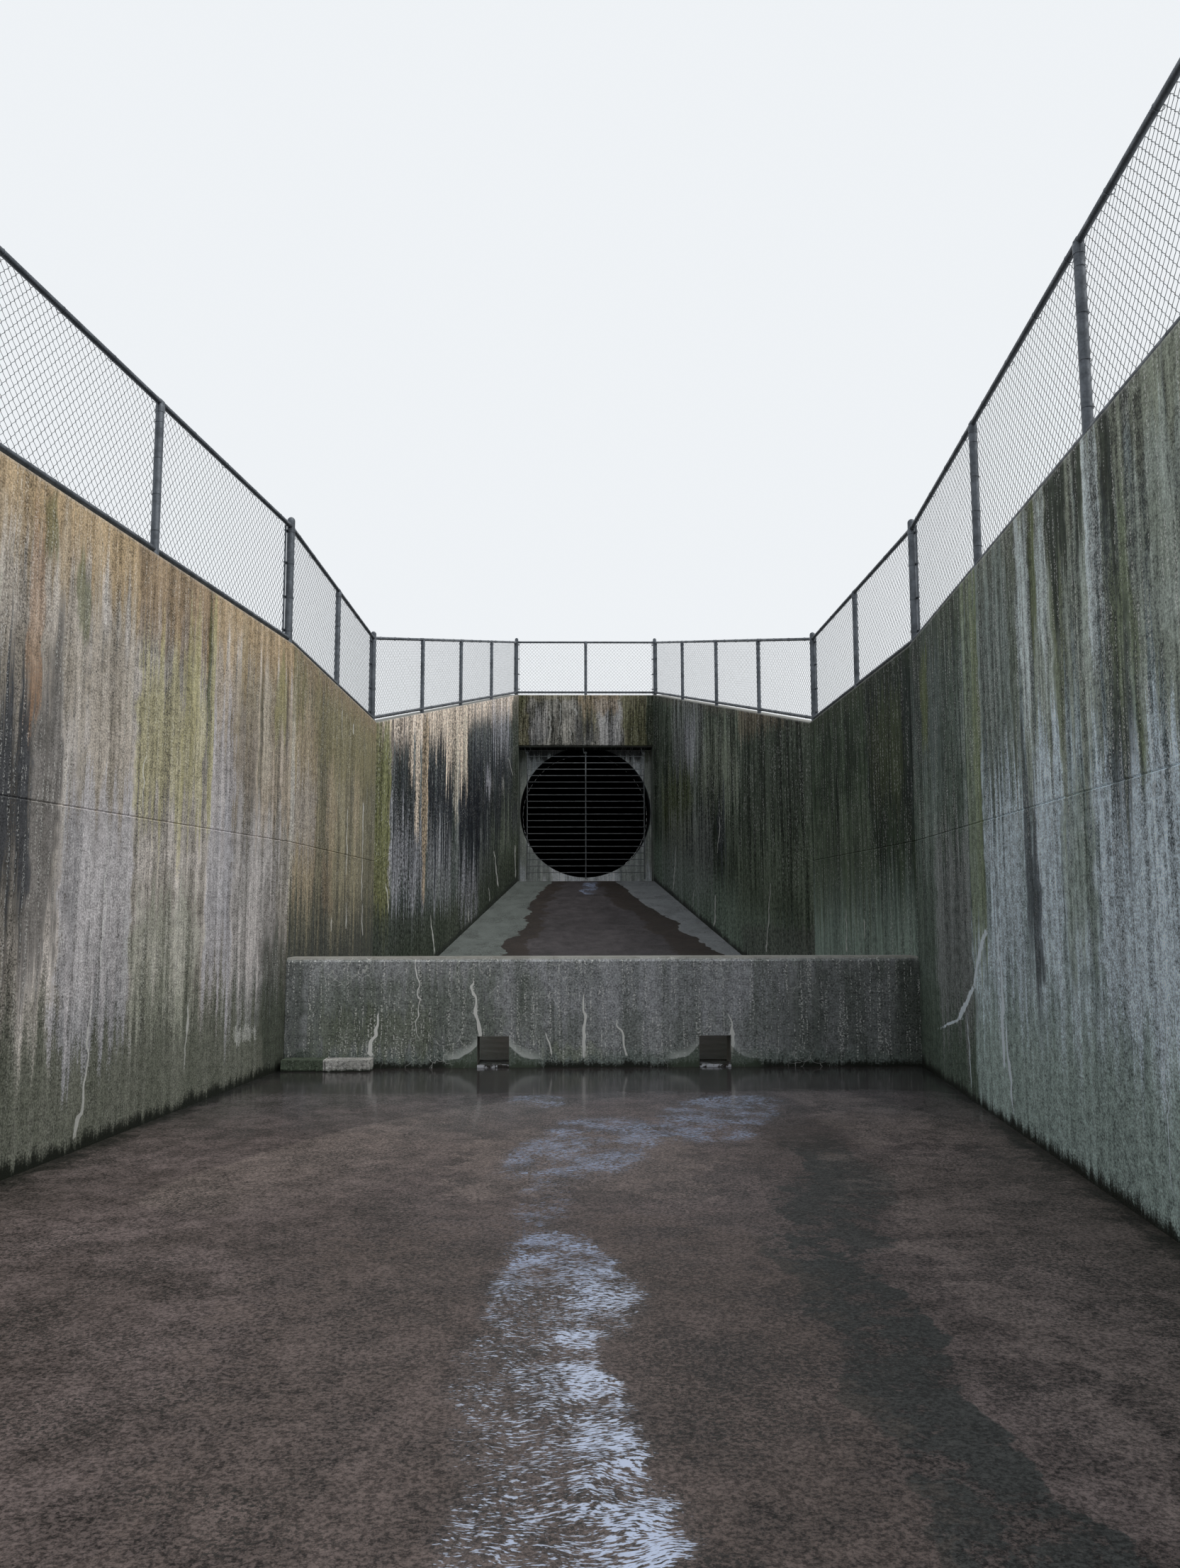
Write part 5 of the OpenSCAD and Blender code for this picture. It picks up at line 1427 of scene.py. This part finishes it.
# %% Paths for the fittings
def loop(centre, first, second, radius, depth, count):
    """A closed oval path: centre plus radius times cosine along first and depth times sine along second,
    at count points."""
    turns = np.linspace(0, 2 * math.pi, count, endpoint=False)[None, :, None]
    return centre[:, None] + radius * np.cos(turns) * first + depth * np.sin(turns) * second


def stroke(centres, steps, way):
    """A straight path through each centre, with a point at each step along a direction."""
    return centres[:, None] + np.asarray(steps)[None, :, None] * way


# %% Bars, bands, bolts and cups on a corner post
BAND_HEIGHTS = np.array([0.14, 0.46, 0.79, 1.1])
BOLT_STEPS = (-0.016, -0.004, -0.004, 0.004, 0.004, 0.01)


def corner_fittings(name, spot, way):
    """One end of a run: the fabric lies on the side that way points to."""
    run = run_frame(name)
    ahead, aside = run.ahead, run.aside
    bar_at = spot + way * (CORNER_R + 0.016)
    bar = on_run(name, bar_at, POST_R + 0.002, np.array([[FABRIC_LOW, FABRIC_HIGH]]))
    centres = on_run(name, spot, 0.0, BAND_HEIGHTS)
    bands = loop(centres, ahead, aside, CORNER_R + 0.0015, CORNER_R + 0.0015, 24)
    root = centres + aside * 0.03 + way * ahead * 0.02
    tip = centres + aside * 0.034 + way * ahead * (CORNER_R + 0.03)
    heads = [centres + aside * (0.034 + step) + way * ahead * (CORNER_R + 0.02) for step in BOLT_STEPS]
    bolts = np.stack(heads, 1) + np.linspace(0, 1e-5, len(BOLT_STEPS))[None, :, None] * aside
    parts = [sweep(bar, aside, box_outline(0.016, 0.005)),
             sweep(bands, UP, box_outline(0.022, 0.003), closed=True),
             sweep(np.stack([root, tip], 1), UP, box_outline(0.022, 0.006)),
             sweep(bolts, ahead, round_outline(0.008, 6), grow=(0.45, 0.45, 0.45, 0.45, 1.0, 0.9))]
    for height in (TOP_RAIL, LOW_RAIL):
        centre = on_run(name, np.array([spot + way * CORNER_R]), 0.0, height)
        cup = stroke(centre, (-0.006, 0.012, 0.034, 0.036), run.rail_way * way)
        parts.append(sweep(cup, aside, round_outline(RAIL_R + 0.003, 16), grow=(1.12, 1.05, 1.0, 0.9)))
    return parts


# %% Caps on the line posts, and ties
def line_fittings(name):
    """Along a run: loop caps, then the ties on the line posts and on both rails."""
    run = run_frame(name)
    ahead, aside = run.ahead, run.aside
    caps = on_run(name, run.posts, 0.0, TOP_RAIL)
    sleeve = stroke(caps, (-0.024, -0.022, 0.022, 0.024), run.rail_way)
    skirt = stroke(caps, (-0.075, -0.074, -0.03, -0.012), UP)
    parts = [sweep(sleeve, aside, round_outline(RAIL_R + 0.004, 16), grow=(0.86, 1, 1, 0.86)),
             sweep(skirt, ahead, round_outline(POST_R + 0.003, 20), grow=(0.92, 1, 1, 0.78))]
    tie = round_outline(0.002, 5)
    spots = on_run(name, run.posts[:, None], 0.003, np.linspace(0.2, 1.0, 4)).reshape(-1, 3)
    around = loop(spots, ahead, aside, POST_R + 0.003, POST_R + 0.003, 14)
    parts.append(sweep(around, UP, tie, closed=True))
    clear = np.arange(0.3, run.length - 0.2, 0.61)
    clear = clear[np.abs(clear[:, None] - run.posts).min(1) > 0.06]
    for height in (TOP_RAIL, LOW_RAIL):
        around = loop(on_run(name, clear, 0.007, height), UP, aside, RAIL_R + 0.003, RAIL_R + 0.008, 14)
        parts.append(sweep(around, run.rail_way, tie, closed=True))
    return parts


# %% Fit every run
FITTED = {
    "left": ("channel_left", "basin_left", "wing_left"),
    "right": ("channel_right", "basin_right", "wing_right"),
    "head": ("head",),
}
for side, names in FITTED.items():
    parts = []
    for name in names:
        for spot, way in ((0.0, 1), (run_frame(name).length, -1)):
            parts += corner_fittings(name, spot, way)
        parts += line_fittings(name)
    points, faces = join(parts)
    mesh_piece("fence_fittings_" + side, points, faces, fence_zinc)
    print(side, "fittings", triangles_in(faces), "triangles")

# %% [markdown]
# ## Welds on the rack
# Each cross rod is welded to the three uprights, with one bead above it and one below. A bead is a
# straight path along the rod whose outline grows and shrinks again.

# %% Weld beads
RACK_Y, ROD_LOW, ROD_TOP, RODS, UPRIGHTS = 13.403, 2.47, 4.945, 19, (-1.245, 0.0, 1.245)
levels = np.linspace(ROD_LOW, ROD_TOP, RODS)
spots = np.array([(x, z) for x in UPRIGHTS for z in levels])
bead = np.linspace(-0.014, 0.014, 7)
swell = np.sqrt(np.clip(1 - (bead / 0.0155) ** 2, 0.05, 1))
beads = []
for above in (-1, 1):
    centre = np.stack([spots[:, 0], np.full(len(spots), RACK_Y - 0.0135), spots[:, 1] + above * 0.0065], -1)
    path = stroke(centre, bead, np.array([1.0, 0.0, 0.0]))
    beads.append(sweep(path, UP, round_outline(0.0048, 6), grow=swell))
points, faces = join(beads)
mesh_piece("rack_welds", points, faces, rack_steel, "rack")
print("welds", len(spots) * 2, "beads,", triangles_in(faces), "triangles")

# %% [markdown]
# ## Still water in the basin
# The basin holds water as deep as a hand is wide at most, brown and smooth. It reaches up the foot of the
# chute and into the two drain notches of the weir. Its surface is a grid lifted by three slow waves.

# %% Brown water
material, tree, shader, point = new_material("brown_water", Specular_IOR_Level=0.25)
water = use(tree, ripples, Point=point)
cloudy = ramp(tree, noise(tree, point, 1.1, 3.0), 0.35, 0.65)
murk = mix(tree, cloudy, (0.016, 0.012, 0.009), (0.032, 0.025, 0.019))
place = add(tree, "ShaderNodeSeparateXYZ", Vector=point).outputs
# The spill at the front of the notches is pale: foam, with painted glints on it.
spill = ramp(tree, place["Y"], -0.1, 0.0, 1.0, 0.0)
foam_and_glint = calc(tree, "MULTIPLY", spill, ramp(tree, noise(tree, point, 16.0, 4.0, 0.6), 0.5, 0.56))
# A painted glint: the tips of the ripples are a lighter brown.
murk = mix(tree, calc(tree, "MULTIPLY", water["Glints"], 0.3), murk, (0.07, 0.066, 0.06))
feed(tree, shader.inputs["Base Color"], mix(tree, foam_and_glint, murk, (0.62, 0.64, 0.7)))
feed(tree, shader.inputs["Roughness"], ramp(tree, noise(tree, point, 3.0), 0.3, 0.7, 0.05, 0.16))
bump(tree, shader, water["Height"], 0.003, 0.35)


# %% The water's sheets
def water_sheet(x0, x1, y0, y1, z, across, up):
    """A closed thin sheet: a grid whose top is z plus small sines of x and y, over a flat underside."""
    x, y = np.meshgrid(np.linspace(x0, x1, across), np.linspace(y0, y1, up), indexing="ij")
    wave = 0.0012 * np.sin(9 * x + 3 * y) + 0.001 * np.sin(14 * y - 4 * x)
    wave += 0.0008 * np.sin(23 * x + 17 * y)
    top = np.stack([x, y, z + wave], -1).reshape(-1, 3)
    low = np.stack([x, y, np.full_like(x, FLOOR_Z + 0.001)], -1).reshape(-1, 3)
    cell = (np.arange(across - 1)[:, None] * up + np.arange(up - 1)).ravel()
    quads = np.stack([cell, cell + up, cell + up + 1, cell + 1], -1)
    count = across * up
    near, far = np.arange(across) * up, np.arange(across - 1) * up + up - 1
    left, last = np.arange(1, up - 1), (across - 1) * up + np.arange(1, up)
    rim = np.concatenate([near, last, far[::-1], left[::-1]])
    after = np.roll(rim, -1)
    walls = np.stack([rim, after, after + count, rim + count], -1)[:, ::-1]
    return np.concatenate([top, low]), quads.tolist() + (quads[:, ::-1] + count).tolist() + walls.tolist()


sheets = [water_sheet(-2.895, 2.895, 0.152, 4.348, FLOOR_Z + 0.03, 90, 66)]
for x in (-NOTCH_X, NOTCH_X):
    sheets.append(water_sheet(x - 0.143, x + 0.143, -0.16, 0.15, FLOOR_Z + 0.022, 12, 12))
points, faces = join(sheets)
mesh_piece("basin_water", points, faces, material)
print("water", len(faces), "faces")
